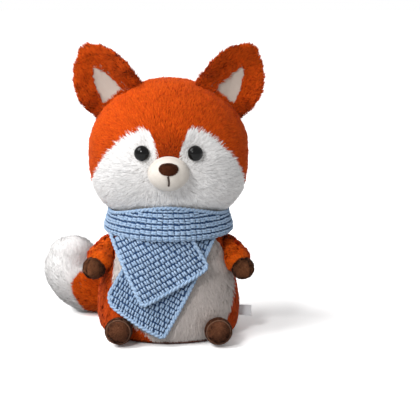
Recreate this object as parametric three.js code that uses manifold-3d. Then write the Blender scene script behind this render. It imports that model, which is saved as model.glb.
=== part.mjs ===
// Seated plush fox with a knitted scarf.
// Millimetres, Z up. The toy faces -Y and sits on the plane z = 0, below the middle of its seat.
// Left and right are the toy's own: its left side is +X.

import * as THREE from 'three';
import { mergeVertices } from 'three/addons/utils/BufferGeometryUtils.js';
import Module from 'manifold-3d';

const wasm = await Module();
wasm.setup();

// Cloth and clearances
const skinThickness = 3;
const seamGap = 0.3;
const ballGap = 0.5;
const socketGap = 1.2;
const turnGap = 0.8;
const cutOverrun = 5;

// Head
const neckHeight = 104;
const headCentreRise = 55;
const headCentreHeight = neckHeight + headCentreRise;
const headHalfWidth = 68;
const headHalfDepth = 58;
const headRise = 62;
const headDrop = 60;
const headTurnAngle = 15;
const crownPower = 2;
const cheekPower = 2.8;
const chinPower = 1.9;
const faceBackDepth = 4;

// Muzzle, nose and mouth
const muzzleDrop = 10.7;
const muzzleHeight = headCentreHeight - muzzleDrop;
const muzzleHalfWidth = 17.2;
const muzzleHalfRise = 14.4;
const muzzleReach = 15;
const noseRise = 5.4;
const noseHeight = muzzleHeight + noseRise;
const noseHalfWidth = 7.5;
const noseHalfRise = 5.3;
const noseReach = 4.6;
const noseSink = 1.6;
const stitchRadius = 0.8;
const stitchTopDrop = 0.6;
const stitchLength = 7;
const stitchTop = muzzleHeight - stitchTopDrop;
const stitchBottom = stitchTop - stitchLength;
const stitchStandOff = 0.3;

// Safety eyes
const eyeRadius = 6.4;
const eyeBulge = 4.4;
const eyeFlange = 1.2;
const eyeStemRadius = 2;
const eyeStemLength = 9;
const eyeElevationAngle = 5.4;
const eyeTurnAngle = 71;
const washerRadius = 7;
const washerThickness = 1.9;

// Ears
const earLength = 52;
const earHalfWidth = 27;
const earThickness = 9;
const earEdgeThickness = 2.4;
const earCup = 9;
const earTipSkew = 5;
const earRootRadius = 5.4;
const earOuterElevationAngle = 26;
const earOuterTurnAngle = -3;
const earInnerElevationAngle = 69.5;
const earInnerTurnAngle = 24;
const earLeanAngle = 2;
const earFoldAngle = 15;
const liningHalfWidth = 12;
const liningThickness = 1.8;
const liningStart = 4;
const liningLength = 32;

// Torso
const torsoHalfWidth = 61.5;
const torsoHalfDepth = 53;
const torsoTop = neckHeight - seamGap;
const seatThickness = 3;
const bellySeamDepth = 8;
const pouchHalfWidth = 36;
const pouchHalfDepth = 29;
const pouchThickness = 18;

// Arms
const shoulderOut = 50;
const shoulderForward = 5;
const shoulderDrop = 29;
const shoulderHeight = neckHeight - shoulderDrop;
const armBallRadius = 11.5;
const armReach = 14;
const armCuffRadius = 12.8;
const armCuffRounding = 10;
const armSplayAngle = 37;
const armDroopAngle = 32;
const armLiftAngle = 35;
const pawRadius = 9.4;
const pawReach = 26.2;

// Feet
const hipOut = 41;
const hipForward = 42;
const footBallRadius = 8;
const footRadius = 11.2;
const footReach = 12;
const footRounding = 8;
const footSplayAngle = 4;
const soleDepth = 4.5;
const footRise = 2.8;

// Tail
const tailRootDepth = 50;
const tailBallRadius = 11.5;
const tailRestDepth = 62;
const tailFatRadius = 25.5;
const tailTopHeight = 70;
const tailOut = 87;
const tailFloorGap = 0.4;

// Scarf
const collarRadius = 45.8;
const collarHalfDepth = 44;
const collarHalfThickness = 7.5;
const collarDrop = 14.5;
const collarBottom = neckHeight - collarDrop;
const collarHeight = 31.5;
const collarSlant = 5.5;
const scarfThickness = 4.4;
const scarfEndGap = 0.8;
const scarfHemLength = 4;
const scarfHemRise = 1;
const scarfFoldRise = 3.2;
const scarfFoldPitch = 44;
const scarfGather = 4;
const frontEndTopX = -14.8;
const frontEndWidth = 66;
const frontEndLength = 44.3;
const frontEndAngle = 29;
const frontEndRightCorner = 4.5;
const frontEndLeftCorner = 6;
const backEndTopX = 8.6;
const backEndWidth = 60.2;
const backEndLength = 78.8;
const backEndAngle = -29.3;
const backEndRightCorner = 13;
const backEndLeftCorner = 5.5;
const scarfFallHeight = 30;

// Blank side label
const labelHeight = 19;
const labelWidth = 9;
const labelReach = 11;
const labelLayer = 0.5;
const labelSeat = 0.4;
const labelForward = 2;

const rad = THREE.MathUtils.degToRad;

const materials = {
  orangePlush: cloth('#d9540f'),
  whitePlush: cloth('#efedea'),
  muzzleVelour: cloth('#eae8e3'),
  brownPlush: cloth('#5f4131'),
  noseVelour: cloth('#4a2614'),
  creamSatin: cloth('#cdbfb2'),
  blueKnit: cloth('#8aaad2'),
  ribbon: cloth('#f2f2ee'),
  blackThread: cloth('#2a201c'),
  filling: cloth('#f6f4ee'),
  calico: cloth('#d8cfb8'),
  eyePlastic: new THREE.MeshStandardMaterial({ color: '#090807', roughness: 0.08 }),
  washerPlastic: new THREE.MeshStandardMaterial({ color: '#e4e2dc', roughness: 0.5 }),
};

function cloth(color) {
  return new THREE.MeshStandardMaterial({ color, roughness: 0.9, metalness: 0 });
}

// Joining and cutting

function solidOf(geometry) {
  const bare = geometry.clone();
  bare.deleteAttribute('normal');
  bare.deleteAttribute('uv');
  const merged = mergeVertices(bare);
  const corners = merged.index.array;
  const kept = [];
  for (let i = 0; i < corners.length; i += 3) {
    const [a, b, c] = [corners[i], corners[i + 1], corners[i + 2]];
    if (a !== b && b !== c && c !== a) kept.push(a, b, c);
  }
  return new wasm.Manifold(new wasm.Mesh({
    numProp: 3,
    vertProperties: Float32Array.from(merged.attributes.position.array),
    triVerts: Uint32Array.from(kept),
  }));
}

function geometryOf(solid) {
  const mesh = solid.getMesh();
  const geometry = new THREE.BufferGeometry();
  geometry.setAttribute('position', new THREE.BufferAttribute(mesh.vertProperties, 3));
  geometry.setIndex(new THREE.BufferAttribute(mesh.triVerts, 1));
  geometry.computeVertexNormals();
  return geometry;
}

function cutBy(solid, cutters) {
  return cutters.reduce((left, cutter) => left.subtract(cutter), solid);
}

// A box given by its lower and upper corner
function boxBetween(low, high) {
  const size = new THREE.Vector3().subVectors(high, low);
  const middle = new THREE.Vector3().addVectors(low, high).multiplyScalar(0.5);
  const box = new THREE.BoxGeometry(size.x, size.y, size.z);
  return solidOf(box.translate(middle.x, middle.y, middle.z));
}

const roomHalf = 2 * torsoHalfWidth + headRise;

function slice(solid, low, high) {
  return solid.intersect(boxBetween(
    new THREE.Vector3(-roomHalf, -roomHalf, low),
    new THREE.Vector3(roomHalf, roomHalf, high),
  ));
}

// Forms

// How far a closed curve swells at a share of its half-length: 1 in the middle, 0 at the ends
function swell(share, power) {
  return (1 - Math.min(Math.abs(share), 1) ** power) ** (1 / power);
}

// Rings of equal counts, joined side by side and closed by a point at each end
function ringSolid(rings, startTip, endTip) {
  const count = rings[0].length;
  const points = [startTip, ...rings.flat(), endTip];
  const last = points.length - 1;
  const triangles = [];
  for (let j = 0; j < count; j += 1) {
    const k = (j + 1) % count;
    triangles.push(0, 1 + k, 1 + j);
    for (let i = 0; i + 1 < rings.length; i += 1) {
      const low = 1 + i * count;
      const high = low + count;
      triangles.push(low + j, low + k, high + k, low + j, high + k, high + j);
    }
    triangles.push(last, last - count + j, last - count + k);
  }
  return indexed(points, triangles);
}

// A sheet between two grids of points: rows run from the top down, columns from left to right
function sheetSolid(front, back) {
  const rows = front.length;
  const columns = front[0].length;
  const points = [...front.flat(), ...back.flat()];
  const f = (r, c) => r * columns + c;
  const b = (r, c) => rows * columns + r * columns + c;
  const triangles = [];
  const quad = (p, q, r, s) => triangles.push(p, q, r, p, r, s);
  for (let r = 0; r + 1 < rows; r += 1) {
    for (let c = 0; c + 1 < columns; c += 1) {
      quad(f(r, c), f(r + 1, c), f(r + 1, c + 1), f(r, c + 1));
      quad(b(r, c), b(r, c + 1), b(r + 1, c + 1), b(r + 1, c));
    }
    quad(f(r, 0), b(r, 0), b(r + 1, 0), f(r + 1, 0));
    const e = columns - 1;
    quad(f(r, e), f(r + 1, e), b(r + 1, e), b(r, e));
  }
  for (let c = 0; c + 1 < columns; c += 1) {
    const e = rows - 1;
    quad(f(0, c), f(0, c + 1), b(0, c + 1), b(0, c));
    quad(f(e, c), b(e, c), b(e, c + 1), f(e, c + 1));
  }
  return indexed(points, triangles);
}

function indexed(points, triangles) {
  const geometry = new THREE.BufferGeometry().setFromPoints(points);
  geometry.setIndex(triangles);
  return geometry;
}

// A level ellipse of points, anticlockwise seen from above
function ellipseRing(halfWidth, halfDepth, height, sides) {
  return Array.from({ length: sides }, (_, j) => {
    const angle = (2 * Math.PI * j) / sides;
    return new THREE.Vector3(halfWidth * Math.cos(angle), halfDepth * Math.sin(angle), height);
  });
}

// The level outline that such an ellipse reaches as it turns to each side by an angle
function turnedEllipseRing(halfWidth, halfDepth, height, sides, turn) {
  return Array.from({ length: sides }, (_, j) => {
    const angle = (2 * Math.PI * j) / sides;
    const fromWidest = Math.max(Math.asin(Math.abs(Math.sin(angle))) - turn, 0);
    const [across, along] = [Math.cos(fromWidest) / halfWidth, Math.sin(fromWidest) / halfDepth];
    const radius = 1 / Math.hypot(across, along);
    return new THREE.Vector3(radius * Math.cos(angle), radius * Math.sin(angle), height);
  });
}

// A turned form along +Z, from a list of [radius, height] that starts and ends on the axis
function turned(profile, sides) {
  const points = profile.map(([radius, height]) => new THREE.Vector2(radius, height));
  return new THREE.LatheGeometry(points, sides).rotateX(Math.PI / 2);
}

// Moves a form made along +Z so that it starts at a place and points in a direction
function aimed(geometry, place, direction) {
  const turn = new THREE.Quaternion().setFromUnitVectors(new THREE.Vector3(0, 0, 1), direction);
  return geometry.applyQuaternion(turn).translate(place.x, place.y, place.z);
}

// A wide block whose near face lies square to Z at a distance
function blockAhead(distance) {
  const box = new THREE.BoxGeometry(roomHalf, roomHalf, roomHalf);
  return box.translate(0, 0, roomHalf / 2 + distance);
}

function ball(radius, place, detail = 2) {
  const form = new THREE.IcosahedronGeometry(radius, detail);
  return solidOf(form.translate(place.x, place.y, place.z));
}

function ellipsoid(halfSizes, place, sides) {
  const form = new THREE.SphereGeometry(1, sides, sides / 2).rotateX(Math.PI / 2);
  return form.scale(halfSizes.x, halfSizes.y, halfSizes.z).translate(place.x, place.y, place.z);
}

// An outline in the front view, moved outwards by a distance
function offsetOutline(points, distance) {
  const area = THREE.ShapeUtils.area(points);
  return points.map((point, i) => {
    const before = points[(i + points.length - 1) % points.length];
    const after = points[(i + 1) % points.length];
    const along = new THREE.Vector2().subVectors(after, before).normalize();
    const out = new THREE.Vector2(along.y, -along.x).multiplyScalar(Math.sign(area));
    return point.clone().addScaledVector(out, distance);
  });
}

// The front view's outline pushed through the toy from a back plane towards the front
function frontPrism(outline, backDepth) {
  const shape = new THREE.Shape(outline);
  const block = new THREE.ExtrudeGeometry(shape, { depth: roomHalf, bevelEnabled: false });
  return solidOf(block.rotateX(Math.PI / 2).translate(0, backDepth, 0));
}

// Head

const headSides = 24;
const headLevels = 11;

function headForm(inset, turn = 0) {
  const rings = [];
  for (let i = 1; i < headLevels; i += 1) {
    const share = -Math.cos((Math.PI * i) / headLevels);
    const rise = share > 0 ? headRise : headDrop;
    const widthPower = share > 0 ? crownPower : cheekPower;
    const depthPower = share > 0 ? crownPower : chinPower;
    rings.push(turnedEllipseRing(
      (headHalfWidth - inset) * swell(share, widthPower),
      (headHalfDepth - inset) * swell(share, depthPower),
      headCentreHeight + (rise - inset) * share,
      headSides,
      turn,
    ));
  }
  const bottom = new THREE.Vector3(0, 0, headCentreHeight - headDrop + inset);
  const top = new THREE.Vector3(0, 0, headCentreHeight + headRise - inset);
  return ringSolid(rings, bottom, top);
}

// A place on the head's upper half: side is -1 for the toy's right, turn runs from the side to the front
function headPlace(side, elevation, turn) {
  const flat = Math.cos(rad(elevation));
  return new THREE.Vector3(
    side * headHalfWidth * flat * Math.cos(rad(turn)),
    -headHalfDepth * flat * Math.sin(rad(turn)),
    headCentreHeight + headRise * Math.sin(rad(elevation)),
  );
}

function headNormal(place) {
  return new THREE.Vector3(
    place.x / headHalfWidth ** 2,
    place.y / headHalfDepth ** 2,
    (place.z - headCentreHeight) / headRise ** 2,
  ).normalize();
}

// White half of the face, as shares of the head's half-width and rise, from the chin up round the eye
const faceShares = [
  [0, -1.4], [-0.6, -1.4], [-1.25, -1.3], [-1.25, -0.75], [-0.99, -0.54], [-0.94, -0.34],
  [-0.895, -0.18], [-0.81, -0.01], [-0.69, 0.15], [-0.56, 0.28], [-0.45, 0.37], [-0.34, 0.42],
  [-0.25, 0.4], [-0.19, 0.28], [-0.16, 0.12], [-0.15, 0], [-0.08, -0.1], [0, -0.2],
];

function faceOutline(side, offset) {
  const corners = faceShares.map(([x, z]) => new THREE.Vector2(
    x * headHalfWidth,
    headCentreHeight + z * headRise,
  ));
  const outline = offsetOutline(corners, offset);
  outline[0].x = -seamGap / 2 + Math.max(offset, 0);
  outline[outline.length - 1].x = outline[0].x;
  return outline.map((point) => new THREE.Vector2(-side * point.x, point.y));
}

function headSkin() {
  const hollow = solidOf(headForm(0)).subtract(solidOf(headForm(skinThickness)));
  return slice(hollow, neckHeight, roomHalf + neckHeight);
}

function facePanel(side) {
  const panel = headSkin().intersect(frontPrism(faceOutline(side, 0), faceBackDepth));
  return cutBy(panel, [eyeSolid(side, seamGap)]);
}

function headCrown() {
  const faces = [-1, 1].map((side) => frontPrism(faceOutline(side, seamGap), faceBackDepth + seamGap));
  return cutBy(headSkin(), [...faces, ...[-1, 1].map(earTrench)]);
}

function headStuffing() {
  const filling = slice(
    solidOf(headForm(skinThickness + seamGap)),
    neckHeight,
    roomHalf + neckHeight,
  );
  return cutBy(filling, [
    ...[-1, 1].map(earTrench),
    ...[-1, 1].map((side) => eyeSolid(side, seamGap)),
    ...[-1, 1].map((side) => washerSolid(side, seamGap)),
  ]);
}

// Muzzle, nose and mouth

const muzzleSides = 20;
const noseSides = 16;
const stitchSides = 8;

function muzzleForm(grow) {
  const halfSizes = new THREE.Vector3(
    muzzleHalfWidth + grow,
    muzzleReach + grow,
    muzzleHalfRise + grow,
  );
  return solidOf(ellipsoid(halfSizes, muzzlePlace(), muzzleSides));
}

function muzzlePlace() {
  return new THREE.Vector3(0, -headHalfDepth, muzzleHeight);
}

// How far forward the muzzle's middle line lies at a height
function muzzleFrontAt(height) {
  return -headHalfDepth - muzzleReach * swell((height - muzzleHeight) / muzzleHalfRise, 2);
}

function muzzle() {
  return frontPart(cutBy(muzzleForm(0), [solidOf(headForm(-seamGap))]));
}

function noseForm(grow) {
  const halfSizes = new THREE.Vector3(noseHalfWidth + grow, noseReach + grow, noseHalfRise + grow);
  const place = new THREE.Vector3(0, muzzleFrontAt(noseHeight) + noseSink, noseHeight);
  return solidOf(ellipsoid(halfSizes, place, noseSides));
}

function nosePad() {
  return cutBy(noseForm(0), [muzzleForm(seamGap)]);
}

function mouthStitch() {
  const places = [stitchTop, (stitchTop + stitchBottom) / 2, stitchBottom].map((height) => (
    new THREE.Vector3(0, muzzleFrontAt(height) - stitchStandOff, height)
  ));
  const thread = new THREE.Shape().absarc(0, 0, stitchRadius, 0, 2 * Math.PI);
  const form = new THREE.ExtrudeGeometry(thread, {
    steps: stitchSides / 2,
    curveSegments: stitchSides,
    extrudePath: new THREE.CatmullRomCurve3(places),
  });
  return cutBy(solidOf(form), [muzzleForm(seamGap), noseForm(seamGap)]);
}

// The part of a form that lies in front of the head's middle
function frontPart(solid) {
  return solid.intersect(boxBetween(
    new THREE.Vector3(-roomHalf, -roomHalf, 0),
    new THREE.Vector3(roomHalf, 0, roomHalf + neckHeight),
  ));
}

// Safety eyes: a dome with a flange and a stem through the cloth, held by a washer inside

const eyeSides = 16;
const domeSteps = 4;

function eyeSolid(side, grow) {
  const radius = eyeRadius + grow;
  const stem = eyeStemRadius + grow;
  const profile = [[0, -eyeStemLength - grow], [stem, -eyeStemLength - grow]];
  profile.push([stem, -eyeFlange - grow], [radius, -eyeFlange - grow]);
  for (let i = 0; i <= domeSteps; i += 1) {
    const angle = (Math.PI * i) / (2 * domeSteps);
    const across = i < domeSteps ? radius * Math.cos(angle) : 0;
    profile.push([across, (eyeBulge + grow) * Math.sin(angle)]);
  }
  const place = headPlace(side, eyeElevationAngle, eyeTurnAngle);
  return solidOf(aimed(turned(profile, eyeSides), place, headNormal(place)));
}

function washerSolid(side, grow) {
  const hole = eyeStemRadius + seamGap - grow;
  const top = -skinThickness - seamGap + grow;
  const bottom = -skinThickness - seamGap - washerThickness - grow;
  const radius = washerRadius + grow;
  const profile = [[hole, bottom], [radius, bottom], [radius, top], [hole, top], [hole, bottom]];
  const place = headPlace(side, eyeElevationAngle, eyeTurnAngle);
  const washer = solidOf(aimed(turned(profile, eyeSides), place, headNormal(place)));
  return washer.intersect(solidOf(headForm(skinThickness + seamGap - grow)));
}

// Ears: a cupped leaf on a rounded root that sits in a slot of the head

const earRows = 8;
const earColumns = 8;
const liningRows = 6;
const liningColumns = 6;

// The ear's own frame: X along the root, Z up the leaf, Y to the back
function earFrame(side) {
  const outer = headPlace(side, earOuterElevationAngle, earOuterTurnAngle);
  const inner = headPlace(side, earInnerElevationAngle, earInnerTurnAngle);
  const along = new THREE.Vector3().subVectors(inner, outer).multiplyScalar(-side).normalize();
  const middle = new THREE.Vector3().addVectors(outer, inner).multiplyScalar(0.5);
  const front = new THREE.Vector3(0, -1, 0);
  const up = new THREE.Vector3().crossVectors(front, along).normalize();
  up.applyAxisAngle(along, rad(earLeanAngle));
  const back = new THREE.Vector3().crossVectors(up, along);
  return new THREE.Matrix4().makeBasis(along, back, up).setPosition(middle);
}

// The leaf's half-width as a share, from the root to the blunt tip
const earWidthShares = [0.93, 0.96, 0.985, 1, 0.98, 0.93, 0.85, 0.73, 0.54, 0.22];
const earTipThicknessShare = 0.5;
const earCupStartShare = 0.33;

function earHalfWidthAt(share) {
  const place = share * (earWidthShares.length - 1);
  const step = Math.min(Math.floor(place), earWidthShares.length - 2);
  const width = THREE.MathUtils.lerp(earWidthShares[step], earWidthShares[step + 1], place - step);
  return earHalfWidth * width;
}

// The leaf's middle surface: the edges come forward, the most where it is wide
function earMiddleDepth(across, share) {
  const width = earHalfWidthAt(share) / earHalfWidth;
  return -earCup * (across * width) ** 2 * Math.min(share / earCupStartShare, 1);
}

function earHalfThickness(across, share) {
  const taper = THREE.MathUtils.lerp(1, earTipThicknessShare, share);
  const edge = earEdgeThickness / earThickness;
  return (earThickness / 2) * Math.max(taper * swell(across, 2), edge);
}

function earPoint(side, across, share, facing) {
  return new THREE.Vector3(
    earHalfWidthAt(share) * across - side * earTipSkew * share,
    earMiddleDepth(across, share) + facing * earHalfThickness(across, share),
    earLength * share,
  );
}

function earGrid(side, facing) {
  return Array.from({ length: earRows + 1 }, (_, r) => (
    Array.from({ length: earColumns + 1 }, (_, c) => (
      earPoint(side, (2 * c) / earColumns - 1, 1 - r / earRows, facing)
    ))
  ));
}

function earLeaf(side) {
  const leaf = solidOf(sheetSolid(earGrid(side, -1), earGrid(side, 1)));
  const rootLength = 2 * (earHalfWidth - earRootRadius);
  const root = new THREE.CapsuleGeometry(earRootRadius, rootLength, 2, 10).rotateZ(Math.PI / 2);
  return leaf.add(solidOf(root));
}

// The lining lies in the hollow of the ear's front; grown, it is the pocket that it sits in
const liningPower = 1.5;
const liningTipShare = 0.95;

function liningGrid(side, grow, depth) {
  return Array.from({ length: liningRows + 1 }, (_, r) => {
    const share = 1 - r / liningRows;
    const height = liningStart - grow + share * (liningLength + 2 * grow);
    const leafShare = height / earLength;
    const halfWidth = liningHalfWidth * swell(liningTipShare * share, liningPower) + grow;
    return Array.from({ length: liningColumns + 1 }, (_, c) => {
      const across = (halfWidth / earHalfWidthAt(leafShare)) * ((2 * c) / liningColumns - 1);
      const point = earPoint(side, across, leafShare, -1);
      point.y += depth;
      return point;
    });
  });
}

function liningSolid(side, grow, reach) {
  const front = liningGrid(side, grow, -reach);
  const back = liningGrid(side, grow, liningThickness + grow);
  return solidOf(sheetSolid(front, back));
}

function inEarFrame(side, solid) {
  return solidOf(geometryOf(solid).applyMatrix4(earFrame(side)));
}

function earOuter(side) {
  return inEarFrame(side, cutBy(earLeaf(side), [liningSolid(side, seamGap, cutOverrun)]));
}

function earLining(side) {
  return inEarFrame(side, liningSolid(side, 0, 0));
}

// The slot is round below the root and opens by the ear's fold to each side above it
function earTrench(side) {
  const radius = earRootRadius + ballGap;
  const reach = radius + earThickness;
  const slope = rad(earFoldAngle);
  const across = radius * Math.cos(slope) + (reach - radius * Math.sin(slope)) * Math.tan(slope);
  const shape = new THREE.Shape();
  shape.absarc(0, 0, radius, Math.PI - slope, 2 * Math.PI + slope, false);
  shape.lineTo(across, reach);
  shape.lineTo(-across, reach);
  const halfLength = earHalfWidth * Math.max(...earWidthShares) + ballGap;
  const slot = new THREE.ExtrudeGeometry(shape, {
    depth: 2 * halfLength,
    bevelEnabled: false,
    curveSegments: 7,
  });
  slot.translate(0, 0, -halfLength);
  slot.applyMatrix4(new THREE.Matrix4().makeBasis(
    new THREE.Vector3(0, 1, 0),
    new THREE.Vector3(0, 0, 1),
    new THREE.Vector3(1, 0, 0),
  ));
  return solidOf(slot.applyMatrix4(earFrame(side)));
}

// Torso

const torsoSides = 24;

// Height, half-width and half-depth of the pear-shaped body, as shares of the torso's sizes
const torsoShares = [
  [0, 0.88, 0.85], [0.04, 0.945, 0.92], [0.12, 0.985, 0.97], [0.27, 1, 1], [0.45, 0.955, 0.96],
  [0.63, 0.875, 0.88], [0.76, 0.815, 0.81], [0.86, 0.76, 0.75], [0.94, 0.69, 0.66], [1, 0.62, 0.56],
];

function torsoShareAt(height, column) {
  const share = THREE.MathUtils.clamp(height / torsoTop, 0, 1);
  const step = Math.max(1, torsoShares.findIndex((row) => row[0] >= share));
  const [low, high] = [torsoShares[step - 1], torsoShares[step]];
  const along = (share - low[0]) / (high[0] - low[0]);
  return THREE.MathUtils.lerp(low[column], high[column], along);
}

function torsoWidthAt(height) {
  return torsoHalfWidth * torsoShareAt(height, 1);
}

function torsoDepthAt(height) {
  return torsoHalfDepth * torsoShareAt(height, 2);
}

function torsoForm(inset, low, high) {
  const between = torsoShares.map((row) => row[0] * torsoTop).filter((z) => z > low && z < high);
  const heights = [low, ...between, high];
  const rings = heights.map((height) => ellipseRing(
    torsoWidthAt(height) - inset,
    torsoDepthAt(height) - inset,
    height,
    torsoSides,
  ));
  return ringSolid(rings, new THREE.Vector3(0, 0, low), new THREE.Vector3(0, 0, high));
}

// Edges of the white belly, as shares of the torso's half-width and height, from the neck down.
// The cloth sits a little twisted, so less of the white shows at the toy's right.
const bellyRightShares = [
  [-0.5, 1.1], [-0.62, 0.88], [-0.74, 0.68], [-0.77, 0.47], [-0.71, 0.34], [-0.6, 0.22],
  [-0.44, 0.13], [-0.28, 0.06], [-0.14, -0.1],
];
const bellyLeftShares = [
  [0.5, 1.1], [0.62, 0.88], [0.8, 0.68], [0.925, 0.47], [0.915, 0.34], [0.86, 0.22],
  [0.78, 0.13], [0.66, 0.06], [0.52, -0.1],
];

function bellyOutline(offset) {
  const edges = [...bellyRightShares, ...bellyLeftShares.toReversed()];
  const corners = edges.map(([x, z]) => new THREE.Vector2(x * torsoHalfWidth, z * torsoTop));
  return offsetOutline(corners, offset);
}

function limbSockets() {
  return [-1, 1].flatMap((side) => [
    ball(armBallRadius + socketGap, shoulderPlace(side), 1),
    ball(footBallRadius + socketGap, hipPlace(side), 1),
  ]).concat(ball(tailBallRadius + socketGap, tailRoot(), 1));
}

function torsoSkin() {
  const outer = solidOf(torsoForm(0, seatThickness + seamGap, torsoTop));
  const inner = solidOf(torsoForm(skinThickness, 0, torsoTop + cutOverrun));
  return cutBy(outer, [inner, ...limbSockets()]);
}

function bellyPanel() {
  return torsoSkin().intersect(frontPrism(bellyOutline(0), -bellySeamDepth));
}

function torsoBack() {
  return cutBy(torsoSkin(), [frontPrism(bellyOutline(seamGap), seamGap - bellySeamDepth)]);
}

function seatPanel() {
  return cutBy(solidOf(torsoForm(0, 0, seatThickness)), limbSockets());
}

const pouchSides = 20;
const pouchLevels = 5;
const pouchPower = 3;

function pouchForm(grow) {
  const rings = [];
  const bottom = seatThickness + seamGap - grow;
  const height = pouchThickness + 2 * grow;
  for (let i = 1; i < pouchLevels; i += 1) {
    const share = (2 * i) / pouchLevels - 1;
    const plump = swell(share, pouchPower);
    rings.push(ellipseRing(
      (pouchHalfWidth + grow) * plump,
      (pouchHalfDepth + grow) * plump,
      bottom + (height * i) / pouchLevels,
      pouchSides,
    ));
  }
  const low = new THREE.Vector3(0, 0, bottom);
  return ringSolid(rings, low, new THREE.Vector3(0, 0, bottom + height));
}

function torsoStuffing() {
  const bottom = seatThickness + seamGap;
  const filling = solidOf(torsoForm(skinThickness + seamGap, bottom, torsoTop));
  return cutBy(filling, [solidOf(pouchForm(seamGap)), ...limbSockets()]);
}

// Arms and paws

const limbSides = 14;

function shoulderPlace(side) {
  return new THREE.Vector3(side * shoulderOut, -shoulderForward, shoulderHeight);
}

function armDirection(side) {
  const level = Math.cos(rad(armDroopAngle));
  return new THREE.Vector3(
    side * Math.sin(rad(armSplayAngle)) * level,
    -Math.cos(rad(armSplayAngle)) * level,
    -Math.sin(rad(armDroopAngle)),
  );
}

const limbPower = 2.2;

// A round-ended stub: a ball at the root, swelling to its widest at the reach, then closing
function stubProfile(ballRadius, endRadius, reach, rounding, grow) {
  const steps = 5;
  const profile = [[0, -ballRadius - grow]];
  for (let i = 1; i < steps; i += 1) {
    const angle = (Math.PI * i) / (2 * steps);
    profile.push([(ballRadius + grow) * Math.sin(angle), -(ballRadius + grow) * Math.cos(angle)]);
  }
  profile.push([ballRadius + grow, 0]);
  for (let i = 0; i < steps; i += 1) {
    const share = i / steps;
    profile.push([(endRadius + grow) * swell(share, limbPower), reach + (rounding + grow) * share]);
  }
  profile.push([0, reach + rounding + grow]);
  return profile;
}

function armForm(side, grow) {
  const profile = stubProfile(armBallRadius, armCuffRadius, armReach, armCuffRounding, grow);
  return solidOf(aimed(turned(profile, limbSides), shoulderPlace(side), armDirection(side)));
}

// The torso as a raised arm meets it, left open round the arm's root
function torsoFromArm(side, liftAngle) {
  const shoulder = shoulderPlace(side);
  const form = torsoForm(-ballGap, 0, torsoTop).translate(-shoulder.x, -shoulder.y, -shoulder.z);
  form.rotateY(side * rad(liftAngle)).translate(shoulder.x, shoulder.y, shoulder.z);
  return cutBy(solidOf(form), [ball(armBallRadius + seamGap, shoulder)]);
}

// The sleeve clears the torso at rest and raised, but its round root stays whole
function arm(side) {
  return cutBy(armForm(side, 0), [0, armLiftAngle].map((angle) => torsoFromArm(side, angle)));
}

function paw(side) {
  const place = shoulderPlace(side).addScaledVector(armDirection(side), pawReach);
  return cutBy(ball(pawRadius, place), [armForm(side, seamGap)]);
}

// Feet and soles

function hipPlace(side) {
  return new THREE.Vector3(side * hipOut, -hipForward, footRadius + footRise);
}

function footDirection(side) {
  return new THREE.Vector3(
    side * Math.sin(rad(footSplayAngle)),
    -Math.cos(rad(footSplayAngle)),
    0,
  );
}

function footForm(side) {
  const profile = stubProfile(footBallRadius, footRadius, footReach, footRounding, 0);
  return aimed(turned(profile, limbSides), hipPlace(side), footDirection(side));
}

// A block in front of a plane square to the foot, at a distance from its root
function aheadOfFoot(side, distance) {
  return solidOf(aimed(blockAhead(distance), hipPlace(side), footDirection(side)));
}

function foot(side) {
  const seam = footReach + footRounding - soleDepth;
  return cutBy(solidOf(footForm(side)), [aheadOfFoot(side, seam)]);
}

function sole(side) {
  const seam = footReach + footRounding - soleDepth + seamGap;
  return solidOf(footForm(side)).intersect(aheadOfFoot(side, seam));
}

// Tail

const tailSides = 16;
const tailRings = 12;

// The tail's radius along its length, as shares of its fattest place
const tailRadiusShares = [0.42, 0.44, 0.5, 0.58, 0.68, 0.77, 0.86, 0.95, 1, 0.97, 0.8];
const tailSeamShare = 0.75;
const tailLyingShare = 0.76;
const tailClosingShare = 0.6;
const tailEndShares = [0.45, 0.8];

// How far the tail's path is out to the side, behind the root and up to the tip, as shares
const tailPathShares = [
  [0, 0, 0], [0.09, 0.6, 0], [0.38, 0.98, 0], [0.82, 1, 0.16], [1, 0.98, 0.62], [1, 0.94, 1],
];

function tailRoot() {
  return new THREE.Vector3(0, tailRootDepth, tailLyingShare * tailFatRadius + tailFloorGap);
}

function tailRadiusAt(share) {
  const place = share * (tailRadiusShares.length - 1);
  const step = Math.min(Math.floor(place), tailRadiusShares.length - 2);
  const shares = [tailRadiusShares[step], tailRadiusShares[step + 1]];
  return tailFatRadius * THREE.MathUtils.lerp(shares[0], shares[1], place - step);
}

// Out behind the seat, along the floor to the toy's right, then up at the white tip
function tailCurve() {
  const root = tailRoot();
  const tip = new THREE.Vector3(
    -tailOut,
    tailRestDepth,
    tailTopHeight - tailClosingShare * tailFatRadius,
  );
  return new THREE.CatmullRomCurve3(tailPathShares.map(([out, behind, up]) => new THREE.Vector3(
    THREE.MathUtils.lerp(root.x, tip.x, out),
    THREE.MathUtils.lerp(root.y, tip.y, behind),
    THREE.MathUtils.lerp(root.z, tip.z, up),
  )));
}

function tailForm() {
  const curve = tailCurve();
  const frames = curve.computeFrenetFrames(tailRings);
  const rings = [];
  for (let i = 0; i <= tailRings; i += 1) {
    const centre = curve.getPointAt(i / tailRings);
    const radius = tailRadiusAt(i / tailRings);
    rings.push(Array.from({ length: tailSides }, (_, j) => {
      const angle = (2 * Math.PI * j) / tailSides;
      return centre.clone()
        .addScaledVector(frames.normals[i], radius * Math.cos(angle))
        .addScaledVector(frames.binormals[i], radius * Math.sin(angle));
    }));
  }
  const end = rings[tailRings];
  const centre = curve.getPointAt(1);
  const along = frames.tangents[tailRings];
  const closing = tailClosingShare * tailFatRadius;
  for (const share of tailEndShares) {
    rings.push(end.map((point) => (
      centre.clone().lerp(point, swell(share, 2)).addScaledVector(along, closing * share)
    )));
  }
  const tip = centre.clone().addScaledVector(along, closing);
  return solidOf(ringSolid(rings, curve.getPointAt(0), tip));
}

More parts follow.
